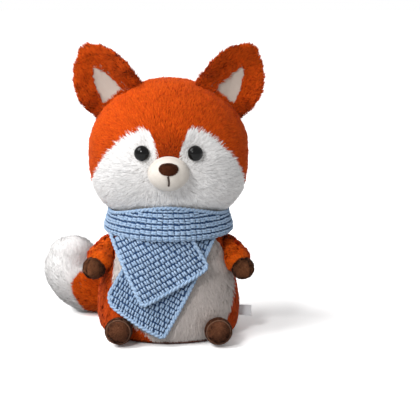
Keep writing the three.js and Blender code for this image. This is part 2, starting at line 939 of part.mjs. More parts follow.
// Everything beyond a plane square to the tail, at a distance past the seam
function beyondTailSeam(distance) {
  const curve = tailCurve();
  const place = curve.getPointAt(tailSeamShare);
  const direction = curve.getTangentAt(tailSeamShare);
  return solidOf(aimed(blockAhead(distance), place, direction));
}

function tailBase() {
  const base = cutBy(tailForm(), [beyondTailSeam(0), solidOf(torsoForm(-ballGap, 0, torsoTop))]);
  return base.add(ball(tailBallRadius, tailRoot()));
}

function tailTip() {
  return tailForm().intersect(beyondTailSeam(seamGap));
}

// Scarf

const collarSides = 24;
const collarSteps = 8;
const collarPower = 0.7;

function collar() {
  const profile = [];
  for (let i = 0; i <= collarSteps; i += 1) {
    const angle = (2 * Math.PI * (i % collarSteps)) / collarSteps;
    const [across, up] = [Math.cos(angle), Math.sin(angle)];
    const out = Math.sign(across) * Math.abs(across) ** collarPower;
    const rise = Math.sign(up) * Math.abs(up) ** collarPower;
    profile.push([
      collarRadius + collarHalfThickness * out - collarSlant * rise,
      collarBottom + (collarHeight / 2) * (1 + rise),
    ]);
  }
  const band = turned(profile, collarSides);
  band.scale(1, (collarHalfDepth + collarHalfThickness) / (collarRadius + collarHalfThickness), 1);
  return cutBy(solidOf(band), [solidOf(torsoForm(-seamGap, 0, torsoTop)), headSweep()]);
}

// The space that the head takes as it turns, with its clearance
function headSweep() {
  return solidOf(headForm(-turnGap, rad(headTurnAngle)));
}

// The two loose ends lie on the belly, one over the other
function drapeRise(x, height) {
  const fall = (collarBottom - height) / collarBottom;
  const fold = (1 - Math.cos((2 * Math.PI * x) / scarfFoldPitch)) / 2;
  return scarfFoldRise * THREE.MathUtils.clamp(fall, 0, 1) * fold;
}

// The stiff knit bends less round the belly than the belly itself
const scarfBendShare = 0.8;

function scarfRestAt(x, height) {
  const level = Math.max(height, scarfFallHeight);
  return -torsoDepthAt(level) * swell((scarfBendShare * x) / torsoWidthAt(level), 2);
}

const scarfRows = 11;
const scarfColumns = 8;
const hemFoldShare = 0.9;

// The knit is gathered a little under the band, and each corner of the hem has its own rounding
function scarfEnd(topX, width, length, angle, corners, layer) {
  const along = new THREE.Vector2(Math.sin(rad(angle)), -Math.cos(rad(angle)));
  const across = new THREE.Vector2(-along.y, along.x);
  const lead = width / 2;
  const total = length + lead;
  const hemShare = scarfHemLength / total;
  const rowShares = Array.from({ length: scarfRows }, (_, r) => r / (scarfRows - 1))
    .map((share) => share * (1 - hemShare));
  rowShares.push(1 - hemFoldShare * hemShare, 1);
  const grid = (facing) => rowShares.map((share, r) => {
    const [toRight, toLeft] = corners.map((radius) => {
      const rounded = Math.max(radius - (1 - share) * total, 0) / radius;
      return width / 2 - scarfGather * (1 - share) ** 2 - radius * (1 - swell(rounded, 2));
    });
    return Array.from({ length: scarfColumns + 1 }, (_, c) => {
      const out = THREE.MathUtils.lerp(-toRight, toLeft, c / scarfColumns);
      const down = share * total - lead;
      const x = topX + along.x * down + across.x * out;
      const z = collarBottom + along.y * down + across.y * out;
      const hem = r >= scarfRows ? scarfHemRise : 0;
      const inner = scarfEndGap + layer * (scarfThickness + scarfEndGap) + drapeRise(x, z);
      const depth = facing < 0 ? inner + scarfThickness + hem : inner;
      return new THREE.Vector3(x, scarfRestAt(x, z) - depth, z);
    });
  });
  return slice(solidOf(sheetSolid(grid(-1), grid(1))), 0, collarBottom - seamGap);
}

function scarfEndBack() {
  const corners = [backEndRightCorner, backEndLeftCorner];
  return scarfEnd(backEndTopX, backEndWidth, backEndLength, backEndAngle, corners, 0);
}

function scarfEndFront() {
  const corners = [frontEndRightCorner, frontEndLeftCorner];
  return scarfEnd(frontEndTopX, frontEndWidth, frontEndLength, frontEndAngle, corners, 1);
}

// Label: a blank ribbon folded over and sewn into the side seam

function sideLabel() {
  const start = torsoWidthAt(labelHeight) + labelSeat;
  const half = labelLayer + labelSeat / 2;
  const shape = new THREE.Shape();
  shape.moveTo(start, -half);
  shape.lineTo(start + labelReach, -half);
  shape.absarc(start + labelReach, 0, half, -Math.PI / 2, Math.PI / 2, false);
  shape.lineTo(start, half);
  shape.lineTo(start, half - labelLayer);
  shape.lineTo(start + labelReach, half - labelLayer);
  shape.absarc(start + labelReach, 0, half - labelLayer, Math.PI / 2, -Math.PI / 2, true);
  shape.lineTo(start, labelLayer - half);
  const ribbon = new THREE.ExtrudeGeometry(shape, {
    depth: labelWidth,
    bevelEnabled: false,
    curveSegments: 4,
  });
  return solidOf(ribbon.translate(0, -labelForward, labelHeight - labelWidth / 2));
}

// Assembly

function addPiece(parent, name, solid, material) {
  parent.updateWorldMatrix(true, false);
  const geometry = geometryOf(solid).applyMatrix4(parent.matrixWorld.clone().invert());
  const mesh = new THREE.Mesh(geometry, material);
  mesh.name = name;
  parent.add(mesh);
}

function addPivot(parent, place) {
  const pivot = new THREE.Group();
  parent.updateWorldMatrix(true, false);
  pivot.position.copy(parent.worldToLocal(place.clone()));
  parent.add(pivot);
  return pivot;
}

const group = new THREE.Group();
const sides = { right: -1, left: 1 };

addPiece(group, 'torso_back', torsoBack(), materials.orangePlush);
addPiece(group, 'belly_panel', bellyPanel(), materials.whitePlush);
addPiece(group, 'seat_panel', seatPanel(), materials.orangePlush);
addPiece(group, 'torso_stuffing', torsoStuffing(), materials.filling);
addPiece(group, 'pellet_pouch', solidOf(pouchForm(0)), materials.calico);
addPiece(group, 'scarf_collar', collar(), materials.blueKnit);
addPiece(group, 'side_label', sideLabel(), materials.ribbon);

const head = addPivot(group, new THREE.Vector3(0, 0, neckHeight));
addPiece(head, 'head_crown', headCrown(), materials.orangePlush);
addPiece(head, 'head_stuffing', headStuffing(), materials.filling);
addPiece(head, 'muzzle', muzzle(), materials.muzzleVelour);
addPiece(head, 'nose_pad', nosePad(), materials.noseVelour);
addPiece(head, 'mouth_stitch', mouthStitch(), materials.blackThread);

for (const [name, side] of Object.entries(sides)) {
  addPiece(head, `face_${name}`, facePanel(side), materials.whitePlush);
  addPiece(head, `eye_${name}`, eyeSolid(side, 0), materials.eyePlastic);
  addPiece(head, `eye_washer_${name}`, washerSolid(side, 0), materials.washerPlastic);

  const earRoot = addPivot(head, new THREE.Vector3().setFromMatrixPosition(earFrame(side)));
  addPiece(earRoot, `ear_${name}`, earOuter(side), materials.orangePlush);
  addPiece(earRoot, `ear_lining_${name}`, earLining(side), materials.creamSatin);

  const shoulder = addPivot(group, shoulderPlace(side));
  addPiece(shoulder, `arm_${name}`, arm(side), materials.orangePlush);
  addPiece(shoulder, `paw_${name}`, paw(side), materials.brownPlush);

  const hip = addPivot(group, hipPlace(side));
  addPiece(hip, `foot_${name}`, foot(side), materials.brownPlush);
  addPiece(hip, `sole_${name}`, sole(side), materials.brownPlush);
}

const tail = addPivot(group, tailRoot());
addPiece(tail, 'tail_base', tailBase(), materials.orangePlush);
addPiece(tail, 'tail_tip', tailTip(), materials.whitePlush);

addPiece(group, 'scarf_end_back', scarfEndBack(), materials.blueKnit);
addPiece(group, 'scarf_end_front', scarfEndFront(), materials.blueKnit);

export default group;
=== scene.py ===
import bpy
import itertools
import math
import numpy as np
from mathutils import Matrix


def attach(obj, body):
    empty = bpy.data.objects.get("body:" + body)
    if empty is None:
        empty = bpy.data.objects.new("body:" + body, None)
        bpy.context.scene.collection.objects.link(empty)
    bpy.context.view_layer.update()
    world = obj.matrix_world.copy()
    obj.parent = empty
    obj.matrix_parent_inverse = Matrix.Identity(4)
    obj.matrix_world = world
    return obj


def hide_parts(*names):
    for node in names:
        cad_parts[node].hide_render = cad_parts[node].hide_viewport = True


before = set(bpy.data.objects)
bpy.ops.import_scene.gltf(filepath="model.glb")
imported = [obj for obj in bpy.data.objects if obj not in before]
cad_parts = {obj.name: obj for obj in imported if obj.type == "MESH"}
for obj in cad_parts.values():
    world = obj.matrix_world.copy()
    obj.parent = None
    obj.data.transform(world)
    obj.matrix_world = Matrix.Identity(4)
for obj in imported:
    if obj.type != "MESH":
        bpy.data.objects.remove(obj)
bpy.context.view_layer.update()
mm = 0.001
bothSides = (("right", -1), ("left", 1))


# Camera, floor and light

view = {"aimHeight": 107, "distance": 1300, "elevation": 11, "lens": 129.4, "shift": 0.0988,
        "sensor": 36, "farthest": 50}


def setCamera():
    camera = bpy.data.objects.new("camera", bpy.data.cameras.new("camera"))
    slope = math.radians(view["elevation"])
    away, up = math.cos(slope) * view["distance"], math.sin(slope) * view["distance"]
    camera.location = (0, -away * mm, (view["aimHeight"] + up) * mm)
    camera.rotation_euler = (math.pi / 2 - slope, 0, 0)
    camera.data.lens = view["lens"]
    camera.data.sensor_width = view["sensor"]
    camera.data.shift_x = view["shift"]
    camera.data.clip_end = view["farthest"]
    bpy.context.collection.objects.link(camera)
    bpy.context.scene.camera = camera


setCamera()
bpy.context.scene.view_settings.view_transform = "Standard"


def paint(code):
    # "#rrggbb" as the linear colour that renders so
    shares = [int(code[i:i + 2], 16) / 255 for i in (1, 3, 5)]
    return tuple(c / 12.92 if c <= 0.04045 else ((c + 0.055) / 1.055) ** 2.4 for c in shares)


class Wire:
    # one output of a node: sums and products on it add their Math nodes
    def __init__(self, look, socket):
        self.look = look
        self.socket = socket

    def other(self, name):
        return Wire(self.look, self.socket.node.outputs[name])

    def worked(self, operation, *values):
        return self.look.add("ShaderNodeMath", {"operation": operation}, dict(enumerate(values)))

    def __add__(self, value):
        return self.worked("ADD", self, value)

    def __radd__(self, value):
        return self.worked("ADD", value, self)

    def __sub__(self, value):
        return self.worked("SUBTRACT", self, value)

    def __rsub__(self, value):
        return self.worked("SUBTRACT", value, self)

    def __mul__(self, value):
        return self.worked("MULTIPLY", self, value)

    def __rmul__(self, value):
        return self.worked("MULTIPLY", value, self)

    def __truediv__(self, value):
        return self.worked("DIVIDE", self, value)

    def __rtruediv__(self, value):
        return self.worked("DIVIDE", value, self)

    def clipped(self):
        return self.look.add("ShaderNodeClamp", {}, {0: self})


class Look:
    # a material or the world, built node by node
    def __init__(self, owner, shader, **values):
        owner.use_nodes = True
        self.owner = owner
        self.tree = owner.node_tree
        self.tree.nodes.clear()
        isWorld = isinstance(owner, bpy.types.World)
        self.out = self.tree.nodes.new("ShaderNodeOutputWorld" if isWorld else "ShaderNodeOutputMaterial")
        self.surface = self.add(shader, {}, values)
        self.tree.links.new(self.surface.socket, self.out.inputs["Surface"])

    def add(self, kind, settings=None, values=None):
        node = self.tree.nodes.new(kind)
        for name, value in (settings or {}).items():
            setattr(node, name, value)
        for name, value in (values or {}).items():
            self.feed(node, name, value)
        return Wire(self, next(s for s in node.outputs if s.enabled))

    def feed(self, node, name, value):
        if isinstance(name, int):
            socket = node.inputs[name]
        else:
            socket = next(s for s in node.inputs if s.name == name and s.enabled)
        if isinstance(value, Wire):
            self.tree.links.new(value.socket, socket)
        elif socket.type == "RGBA":
            socket.default_value = (*value[:3], 1)
        else:
            socket.default_value = value

    def set(self, **values):
        for name, value in values.items():
            self.feed(self.surface.socket.node, name.replace("_", " "), value)
        return self

    def mix(self, share, low, high):
        return self.add("ShaderNodeMix", {"data_type": "RGBA"}, {"Factor": share, "A": low, "B": high})

    def scaled(self, colour, tone):
        return self.add("ShaderNodeVectorMath", {"operation": "SCALE"}, {"Vector": colour, "Scale": tone})

    def noise(self, scale, detail=2.0, roughness=0.5):
        return self.add("ShaderNodeTexNoise", {}, {
            "Vector": self.place(), "Scale": scale, "Detail": detail, "Roughness": roughness})

    def waves(self, direction, scale, distortion=0.0):
        return self.add("ShaderNodeTexWave", {"bands_direction": direction}, {
            "Vector": self.place(), "Scale": scale, "Distortion": distortion})

    def place(self):
        return self.add("ShaderNodeTexCoord").other("Object")

    def carried(self, name):
        return self.add("ShaderNodeAttribute", {"attribute_name": name}).other("Fac")

    def bump(self, height, depth):
        return self.add("ShaderNodeBump", {}, {"Height": height, "Distance": depth * mm})


def newLook(name, **values):
    return Look(bpy.data.materials.new(name), "ShaderNodeBsdfPrincipled").set(**values)


def shownToCamera(look):
    # 1 for what the camera sees, straight or by reflection
    rays = look.add("ShaderNodeLightPath")
    return (rays + rays.other("Is Glossy Ray") + rays.other("Is Transmission Ray")).clipped()


stage = {"size": 9, "floorSeen": 1.4, "floorLit": 0.46, "ambient": 0.46}
lamps = {
    "key": {"angle": 36, "power": 2.5, "towards": (0.61, 0.27, -0.74)},
    "spark": {"place": (-0.42, -0.95, 0.66), "aimHeight": 0.16, "size": 0.2, "power": 5.5},
}


def setStage():
    world = bpy.data.worlds.new("studio")
    bpy.context.scene.world = world
    sky = Look(world, "ShaderNodeBackground", Color=(1, 1, 1))
    shown = shownToCamera(sky)
    sky.set(Strength=shown * (1 - stage["ambient"]) + stage["ambient"])

    half = stage["size"] / 2
    corners = [(-half, -half, 0), (half, -half, 0), (half, half, 0), (-half, half, 0)]
    mesh = bpy.data.meshes.new("floor")
    mesh.from_pydata(corners, [], [(0, 1, 2, 3)])
    floor = bpy.data.objects.new("floor", mesh)
    bpy.context.collection.objects.link(floor)
    look = Look(bpy.data.materials.new("paper"), "ShaderNodeBsdfDiffuse")
    tone = shownToCamera(look) * (stage["floorSeen"] - stage["floorLit"]) + stage["floorLit"]
    look.set(Color=look.add("ShaderNodeCombineColor", {}, {"Red": tone, "Green": tone, "Blue": tone}))
    mesh.materials.append(look.owner)

    # a broad key from the left front, and a small lamp that puts the glint in the eyes
    key = addLamp("key", "SUN", lamps["key"]["power"], lamps["key"]["towards"])
    key.data.angle = math.radians(lamps["key"]["angle"])
    x, y, z = lamps["spark"]["place"]
    spark = addLamp("spark", "AREA", lamps["spark"]["power"], (-x, -y, lamps["spark"]["aimHeight"] - z))
    spark.data.size = lamps["spark"]["size"]
    spark.location = (x, y, z)


def addLamp(name, kind, power, direction):
    x, y, z = direction
    lamp = bpy.data.objects.new(name, bpy.data.lights.new(name, kind))
    lamp.data.energy = power
    lamp.rotation_euler = (math.atan2(math.hypot(x, y), -z), 0, math.atan2(-x, y))
    bpy.context.collection.objects.link(lamp)
    return lamp


setStage()
print("camera, floor and light set")


# Points and surfaces, in millimetres until a mesh is made

def swell(share, power=2.0):
    return (1 - np.minimum(np.abs(share), 1) ** power) ** (1 / power)


def smooth(share):
    share = np.clip(share, 0, 1)
    return share * share * (3 - 2 * share)


def unit(vectors):
    return vectors / np.maximum(np.linalg.norm(vectors, axis=-1, keepdims=True), 1e-9)


def dots(first, second):
    return np.sum(first * second, axis=-1, keepdims=True)


def alongSurface(vectors, normals):
    return unit(vectors - normals * dots(vectors, normals))


def softNoise(points, cell, seed):
    # smooth random vectors in space, from about -1 to 1
    place = points / cell
    low = np.floor(place).astype(np.int64)
    part = smooth(place - low)
    table = np.random.default_rng(seed).uniform(-1, 1, (4096, 3))
    total = np.zeros_like(points)
    for corner in itertools.product((0, 1), repeat=3):
        at = low + np.array(corner)
        key = (at[..., 0] * 73856093 ^ at[..., 1] * 19349663 ^ at[..., 2] * 83492791) % 4096
        weight = np.prod(np.where(np.array(corner) == 1, part, 1 - part), axis=-1)
        total += weight[..., None] * table[key]
    return total


def curved(points, count):
    # an open smooth line through the points, evenly spaced
    points = np.asarray(points, float)
    ends = np.vstack([2 * points[0] - points[1], points, 2 * points[-1] - points[-2]])
    gaps = np.sqrt(np.maximum(np.linalg.norm(np.diff(ends, axis=0), axis=1), 1e-6))
    line = []
    for i in range(len(points) - 1):
        p0, p1, p2, p3 = ends[i:i + 4]
        t0, t1, t2, t3 = np.concatenate([[0], np.cumsum(gaps[i:i + 3])])
        t = np.linspace(t1, t2, 40, endpoint=False)[:, None]
        a1 = (t1 - t) / (t1 - t0) * p0 + (t - t0) / (t1 - t0) * p1
        a2 = (t2 - t) / (t2 - t1) * p1 + (t - t1) / (t2 - t1) * p2
        a3 = (t3 - t) / (t3 - t2) * p2 + (t - t2) / (t3 - t2) * p3
        b1 = (t2 - t) / (t2 - t0) * a1 + (t - t0) / (t2 - t0) * a2
        b2 = (t3 - t) / (t3 - t1) * a2 + (t - t1) / (t3 - t1) * a3
        line.append((t2 - t) / (t2 - t1) * b1 + (t - t1) / (t2 - t1) * b2)
    line = np.vstack(line + [points[-1:]])
    far = travelled(line)
    wanted = np.linspace(0, far[-1], count)
    return np.stack([np.interp(wanted, far, line[:, k]) for k in range(points.shape[1])], axis=1)


def travelled(line):
    # how far along a line each of its points lies
    return np.concatenate([[0], np.cumsum(np.linalg.norm(np.diff(line, axis=0), axis=1))])


def lengthOf(line):
    return np.sum(np.linalg.norm(np.diff(line, axis=0), axis=1))


def inside(points, outline):
    # which points lie in a closed outline
    x, y = points[..., 0], points[..., 1]
    result = np.zeros(x.shape, bool)
    for (x1, y1), (x2, y2) in zip(outline, np.roll(outline, -1, axis=0)):
        crosses = (y1 > y) != (y2 > y)
        result ^= crosses & (x < (x2 - x1) * (y - y1) / (y2 - y1 + 1e-12) + x1)
    return result


def towards(direction):
    # the same way at every point
    return lambda points: np.broadcast_to(np.array(direction, float), points.shape)


downwards = towards((0, 0, -1))


def turns(sides):
    return np.linspace(0, 2 * math.pi, sides, endpoint=False)


def poleToPole(count, margin):
    # shares from nearly -1 to nearly 1, closer together towards the ends
    return -np.cos(np.linspace(margin, math.pi - margin, count))[:, None]


def ovalRings(width, depth, height, angle):
    # level rings of points, with their half sizes and heights in columns
    return np.stack([width * np.cos(angle), depth * np.sin(angle), height + 0 * angle], axis=-1)


def gridQuads(rows, columns, wraps=True):
    index = np.arange(rows * columns).reshape(rows, columns)
    beside = np.roll(index, -1, axis=1)
    quads = np.stack([index[:-1], beside[:-1], beside[1:], index[1:]], axis=-1)
    return (quads if wraps else quads[:, :-1]).reshape(-1, 4)


def sheetForm(grid, napTo, wraps=True):
    # a surface from rows of points; napTo gives the way that its pile lies
    before, after = np.roll(grid, 1, axis=1), np.roll(grid, -1, axis=1)
    if not wraps:
        before[:, 0], after[:, -1] = grid[:, 0], grid[:, -1]
    normals = unit(np.cross(after - before, np.gradient(grid, axis=0))).reshape(-1, 3)
    points = grid.reshape(-1, 3)
    nap = alongSurface(napTo(points), normals)
    return {"points": points, "normals": normals, "quads": gridQuads(*grid.shape[:2], wraps), "nap": nap}


def turnedOver(form):
    return {**form, "normals": -form["normals"], "quads": form["quads"][:, ::-1]}


def pressed(form, depth):
    # the same form, pressed in by a depth at each of its points
    return {**form, "points": form["points"] - form["normals"] * depth}


def picked(form, keep):
    # the faces whose middles are to be kept
    middles = form["points"][form["quads"]].mean(axis=1)
    return {**form, "quads": form["quads"][keep(middles)]}


def faceAreas(form):
    corners = form["points"][form["quads"]]
    return np.linalg.norm(np.cross(corners[:, 2] - corners[:, 0], corners[:, 3] - corners[:, 1]), axis=1) / 2


# Pieces

def addPiece(name, mesh, look, body):
    mesh.materials.append(look.owner)
    piece = bpy.data.objects.new(name, mesh)
    bpy.context.collection.objects.link(piece)
    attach(piece, body)
    return piece


def meshPiece(name, points, faces, look, body):
    mesh = bpy.data.meshes.new(name)
    mesh.from_pydata((np.asarray(points) * mm).tolist(), [], [list(f) for f in faces])
    mesh.shade_smooth()
    return addPiece(name, mesh, look, body)


def declare(piece, node=None):
    # hides the solid that a piece replaces, if one is given
    if node:
        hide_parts(node)
    return piece


def clothPiece(name, form, depth, thickness, look, body):
    # the woven ground under the pile: a thin closed shell below the surface
    used, quads = np.unique(form["quads"], return_inverse=True)
    quads = quads.reshape(-1, 4)
    points, normals = form["points"][used], form["normals"][used]
    count = len(points)
    edges = np.stack([quads, np.roll(quads, -1, axis=1)], axis=-1).reshape(-1, 2)
    seen = set(map(tuple, edges.tolist()))
    rims = [(a, b) for a, b in seen if (b, a) not in seen]
    faces = quads.tolist() + (quads[:, ::-1] + count).tolist()
    faces += [[b, a, a + count, b + count] for a, b in rims]
    both = np.vstack([points - normals * depth, points - normals * (depth + thickness)])
    return meshPiece(name, both, faces, look, body)


def stuffedSkin(name, form, s, look, body, node):
    return declare(clothPiece(name, form, s["clothDepth"], s["clothThickness"], look, body), node)


def closedPiece(name, form, sides, look, body):
    # a form of closed rings, shut by a point at each end
    rings, count = form["points"], len(form["points"])
    points = np.vstack([rings, rings[:sides].mean(axis=0), rings[-sides:].mean(axis=0)])
    faces = form["quads"].tolist()
    turn = 1 if form["quads"][0][0] < form["quads"][0][1] else -1
    for j in range(sides):
        k = (j + 1) % sides
        faces.append([j, count, k][::turn])
        faces.append([count - sides + k, count + 1, count - sides + j][::turn])
    return meshPiece(name, points, faces, look, body)


# what every pile shares: how its strips vary, how they narrow, and how far along their tips are tested
fibre = {
    "tipAt": 0.7, "tips": (0.5, 1.3), "lengths": (0.72, 1.12), "widths": (0.75, 1.2), "waist": 0.8,
    "fineCell": 0.42, "fineShare": 0.6, "curlCell": 0.7, "liftByTuft": 0.5, "liftVaries": 0.12,
    "shadeLean": -0.25, "shadeVaries": 0.12,
    # places in a strip's cell of the layout, and how far up the strip each of its corners is
    "layout": ((0.1, 0.06), (0.9, 0.06), (0.9, 0.5), (0.1, 0.5), (0.1, 0.5), (0.9, 0.5), (0.5, 0.94)),
    "rise": (0, 0, 0.55, 0.55, 1),
}


def seeded(s, step):
    return {**s, "seed": s["seed"] + step}


def growPile(name, form, s, look, body, keep, lengthAt=None):
    # short strips of fibre that stand on a form and lie over in tufts
    rng = np.random.default_rng(s["seed"])
    reach = np.cumsum(faceAreas(form))
    count = int(reach[-1] * s["density"])
    chosen = np.searchsorted(reach, (np.arange(count) + rng.random(count)) / count * reach[-1])
    chosen = form["quads"][np.minimum(chosen, len(reach) - 1)]
    u, v = rng.random((2, count, 1))

    def spread(values):
        low = values[chosen[:, 0]] * (1 - u) + values[chosen[:, 1]] * u
        high = values[chosen[:, 3]] * (1 - u) + values[chosen[:, 2]] * u
        return low * (1 - v) + high * v

    points, normals, nap = (spread(form[k]) for k in ("points", "normals", "nap"))
    kept = keep(points, points + nap * s["length"] * fibre["tipAt"] * rng.uniform(*fibre["tips"], (count, 1)))
    points, normals, nap = points[kept], unit(normals[kept]), nap[kept]
    count = len(points)
    fine = softNoise(points, s["tuft"] * fibre["fineCell"], s["seed"] + 2)
    tuft = softNoise(points, s["tuft"], s["seed"] + 1) + fibre["fineShare"] * fine
    lean = alongSurface(nap + tuft * s["stray"] + rng.normal(0, s["loose"], (count, 3)), normals)
    lift = np.radians(s["lift"]) * (1 + fibre["liftByTuft"] * dots(tuft, normals))
    lift = lift + rng.normal(0, fibre["liftVaries"], (count, 1))
    length = s["length"] * rng.uniform(*fibre["lengths"], (count, 1))
    if lengthAt is not None:
        length = length * lengthAt(points)[:, None]
    curl = softNoise(points, s["tuft"] * fibre["curlCell"], s["seed"] + 3) * s["curl"]
    first = unit(normals * np.sin(lift) + lean * np.cos(lift))
    later = unit(normals * np.sin(lift * s["fall"]) + lean * np.cos(lift * s["fall"]) + curl)
    root = points - normals * s["sink"]
    middle = root + first * length * 0.5
    tip = middle + later * length * 0.5
    roll = rng.normal(0, s["roll"], (count, 1))
    across = unit(np.cross(first, normals))
    across = across * np.cos(roll) + np.cross(first, across) * np.sin(roll)
    half = across * s["width"] / 2 * rng.uniform(*fibre["widths"], (count, 1))
    waist = half * fibre["waist"]
    corners = np.stack([root - half, root + half, middle + waist, middle - waist, tip], axis=1)
    shading = normals + (first - normals) * fibre["shadeLean"] + tuft * s["shade"]
    shading = unit(shading + rng.normal(0, fibre["shadeVaries"], (count, 3)))
    return declare(stripPiece(name, corners, shading, rng.random(count), look, body))


def stripPiece(name, corners, shading, chance, look, body):
    # each strip has four corners below and a pointed tip, and a cell of the layout of its own
    count = len(corners)
    order = np.arange(count)
    loops = (order[:, None] * 5 + [[0, 1, 2, 3, 3, 2, 4]]).ravel()
    side = math.ceil(math.sqrt(count))
    cell = np.stack([order % side, order // side], axis=1)[:, None]
    mesh = bpy.data.meshes.new(name)
    mesh.vertices.add(count * 5)
    mesh.vertices.foreach_set("co", (corners * mm).astype(np.float32).ravel())
    mesh.loops.add(len(loops))
    mesh.loops.foreach_set("vertex_index", loops.astype(np.int32))
    mesh.polygons.add(count * 2)
    mesh.polygons.foreach_set("loop_start", (order[:, None] * 7 + [[0, 4]]).ravel().astype(np.int32))
    layout = mesh.uv_layers.new(name="OFBake")
    places = (cell + np.array(fibre["layout"])[None]) / side
    layout.uv.foreach_set("vector", places.astype(np.float32).ravel())
    setCarried(mesh, "rise", np.tile(fibre["rise"], count))
    setCarried(mesh, "chance", np.repeat(chance, 5))
    mesh.update()
    mesh.shade_smooth()
    mesh.normals_split_custom_set_from_vertices(np.repeat(shading, 5, axis=0).astype(np.float32))
    return addPiece(name, mesh, look, body)


def setCarried(mesh, name, values):
    # a value at each point of a mesh, for its look
    mesh.attributes.new(name, "FLOAT", "POINT").data.foreach_set("value", values.astype(np.float32))


# Cloth and pile finishes

def pileLook(name, root, body, tip, patch=0.12, deep=None):
    # long soft pile: dark at its foot, painted shade deep in the dense pile, paler at its tips, with faint
    # patches
    # deep is (place, reach, darkening) in metres, for pile that is darker round a place: partly its own
    # darker nap, partly painted shade in a hollow
    look = newLook(name, Roughness=0.9, Sheen_Weight=0.05, Sheen_Roughness=0.5, Specular_IOR_Level=0.15)
    rise, chance = look.carried("rise"), look.carried("chance")
    # the lower half of each strip runs up from the root colour: painted shade at the foot of the pile
    lower = look.mix((rise * 2).clipped(), paint(root), paint(body))
    colour = look.mix((rise * 2 - 1).clipped() * (chance * 0.6 + 0.4), lower, paint(tip))
    tone = (look.noise(90, 3.0, 0.6) - 0.5) * patch * 2 + (chance - 0.5) * 0.16 + 1
    if deep:
        place, reach, darkening = deep
        away = look.add("ShaderNodeVectorMath", {"operation": "DISTANCE"}, {0: look.place(), 1: place})
        # partly painted shade: the pile is darkened within the reach of the place
        tone = tone * (1 - (1 - away / reach).clipped() * darkening)
    return look.set(Base_Color=look.scaled(colour, tone))


def groundLook(name, tone):
    # the knitted ground that the pile stands in
    look = newLook(name, Roughness=0.95, Specular_IOR_Level=0.2)
    threads = look.noise(1400, 2.0)
    dark, pale = ([c * share for c in paint(tone)] for share in (0.7, 1.15))
    return look.set(Base_Color=look.mix(threads, dark, pale), Normal=look.bump(threads, 0.2))


# the crown's pile is darker round the blaze between the eyes: partly its darker nap, partly painted shade of
# the hollow there
crownLook = pileLook("crown_pile", "#862600", "#c84102", "#e8660c", deep=((0, -0.066, 0.158), 0.03, 0.55))
orangePile = pileLook("orange_pile", "#842600", "#c03e02", "#e05e0a")
# the arms' and tail's orange is a lighter copy of the body's orange pile: painted light on them
litLimbPile = pileLook("orange_limb_lit_pile", "#a43600", "#e45604", "#ff7e1a")
earPile = pileLook("orange_ear_pile", "#782400", "#c03e02", "#de5e0a", patch=0.2)
whitePile = pileLook("white_pile", "#eae7e4", "#faf8f7", "#ffffff", patch=0.03)
# the belly's white pile is a darker copy of the white pile: painted shade from the head and the scarf above
# it
bellyShadedWhite = pileLook("belly_shaded_white_pile", "#bfb3ad", "#d6ccc6", "#e6deda", patch=0.05)
orangeGround = groundLook("orange_ground", "#9a3202")
# the seat's ground is a darker copy of the orange ground: painted shade under the body
seatShadedGround = groundLook("seat_shaded_ground", "#5c2206")
whiteGround = groundLook("white_ground", "#d6d1cb")


# Head

head = {
    "centre": 159, "halfWidth": 68, "halfDepth": 58, "rise": 62, "drop": 60, "neck": 104,
    "crownPower": 2, "cheekPower": 2.8, "chinPower": 1.9, "faceBack": 4,
    "levels": 110, "sides": 152, "clothDepth": 2.2, "clothThickness": 0.9, "clothAbove": 0.5, "pileAbove": 2,
    # the nap runs outwards from the nose, and further back it turns downwards
    "napFrom": (0, -66, 149.5), "napTurn": -25, "napTurnReach": 60,
    # where the eyes are, how the face dips at them, and how far its pile is cleared and trimmed round them
    "eyeElevation": 5.4, "eyeAround": 71, "eyeHollow": 1.6, "eyeHollowReach": 10,
    "eyeClear": 6, "eyeTrim": 12, "eyeLeast": 0.3,
}
faceCorners = [(0, -1.4), (-1.25, -1.4)]
faceShares = [
    (-1.25, -0.75), (-0.99, -0.54), (-0.94, -0.34), (-0.895, -0.18), (-0.81, -0.01), (-0.69, 0.15),
    (-0.56, 0.28), (-0.45, 0.37), (-0.34, 0.42), (-0.25, 0.4), (-0.19, 0.28), (-0.16, 0.12),
    (-0.15, 0), (-0.08, -0.1), (0, -0.2),
]
crownPile = {
    "density": 2.6, "length": 5.2, "width": 0.62, "lift": 36, "fall": 0.35, "tuft": 5, "stray": 0.3,
    "loose": 0.16, "curl": 0.2, "sink": 2.0, "roll": 0.5, "shade": 0.12, "seed": 11,
}
facePile = {
    "density": 3.2, "length": 7.0, "width": 0.6, "lift": 30, "fall": 0.3, "tuft": 7, "stray": 0.22,
    "loose": 0.12, "curl": 0.14, "sink": 2.0, "roll": 0.5, "shade": 0.1, "seed": 21,
}


def headPlace(side, elevation, turn):
    flat = math.cos(math.radians(elevation))
    return np.array([
        side * head["halfWidth"] * flat * math.cos(math.radians(turn)),
        -head["halfDepth"] * flat * math.sin(math.radians(turn)),
        head["centre"] + head["rise"] * math.sin(math.radians(elevation)),
    ])


def headNormal(place):
    sizes = np.array([head["halfWidth"], head["halfDepth"], head["rise"]])
    return unit((place - [0, 0, head["centre"]]) / sizes ** 2)


eyePlaces = {side: headPlace(side, head["eyeElevation"], head["eyeAround"]) for side in (-1, 1)}


def headFullness(share, lowerPower):
    # from the bottom of the head at -1 to its top at 1
    return np.where(share > 0, swell(share, head["crownPower"]), swell(share, lowerPower))


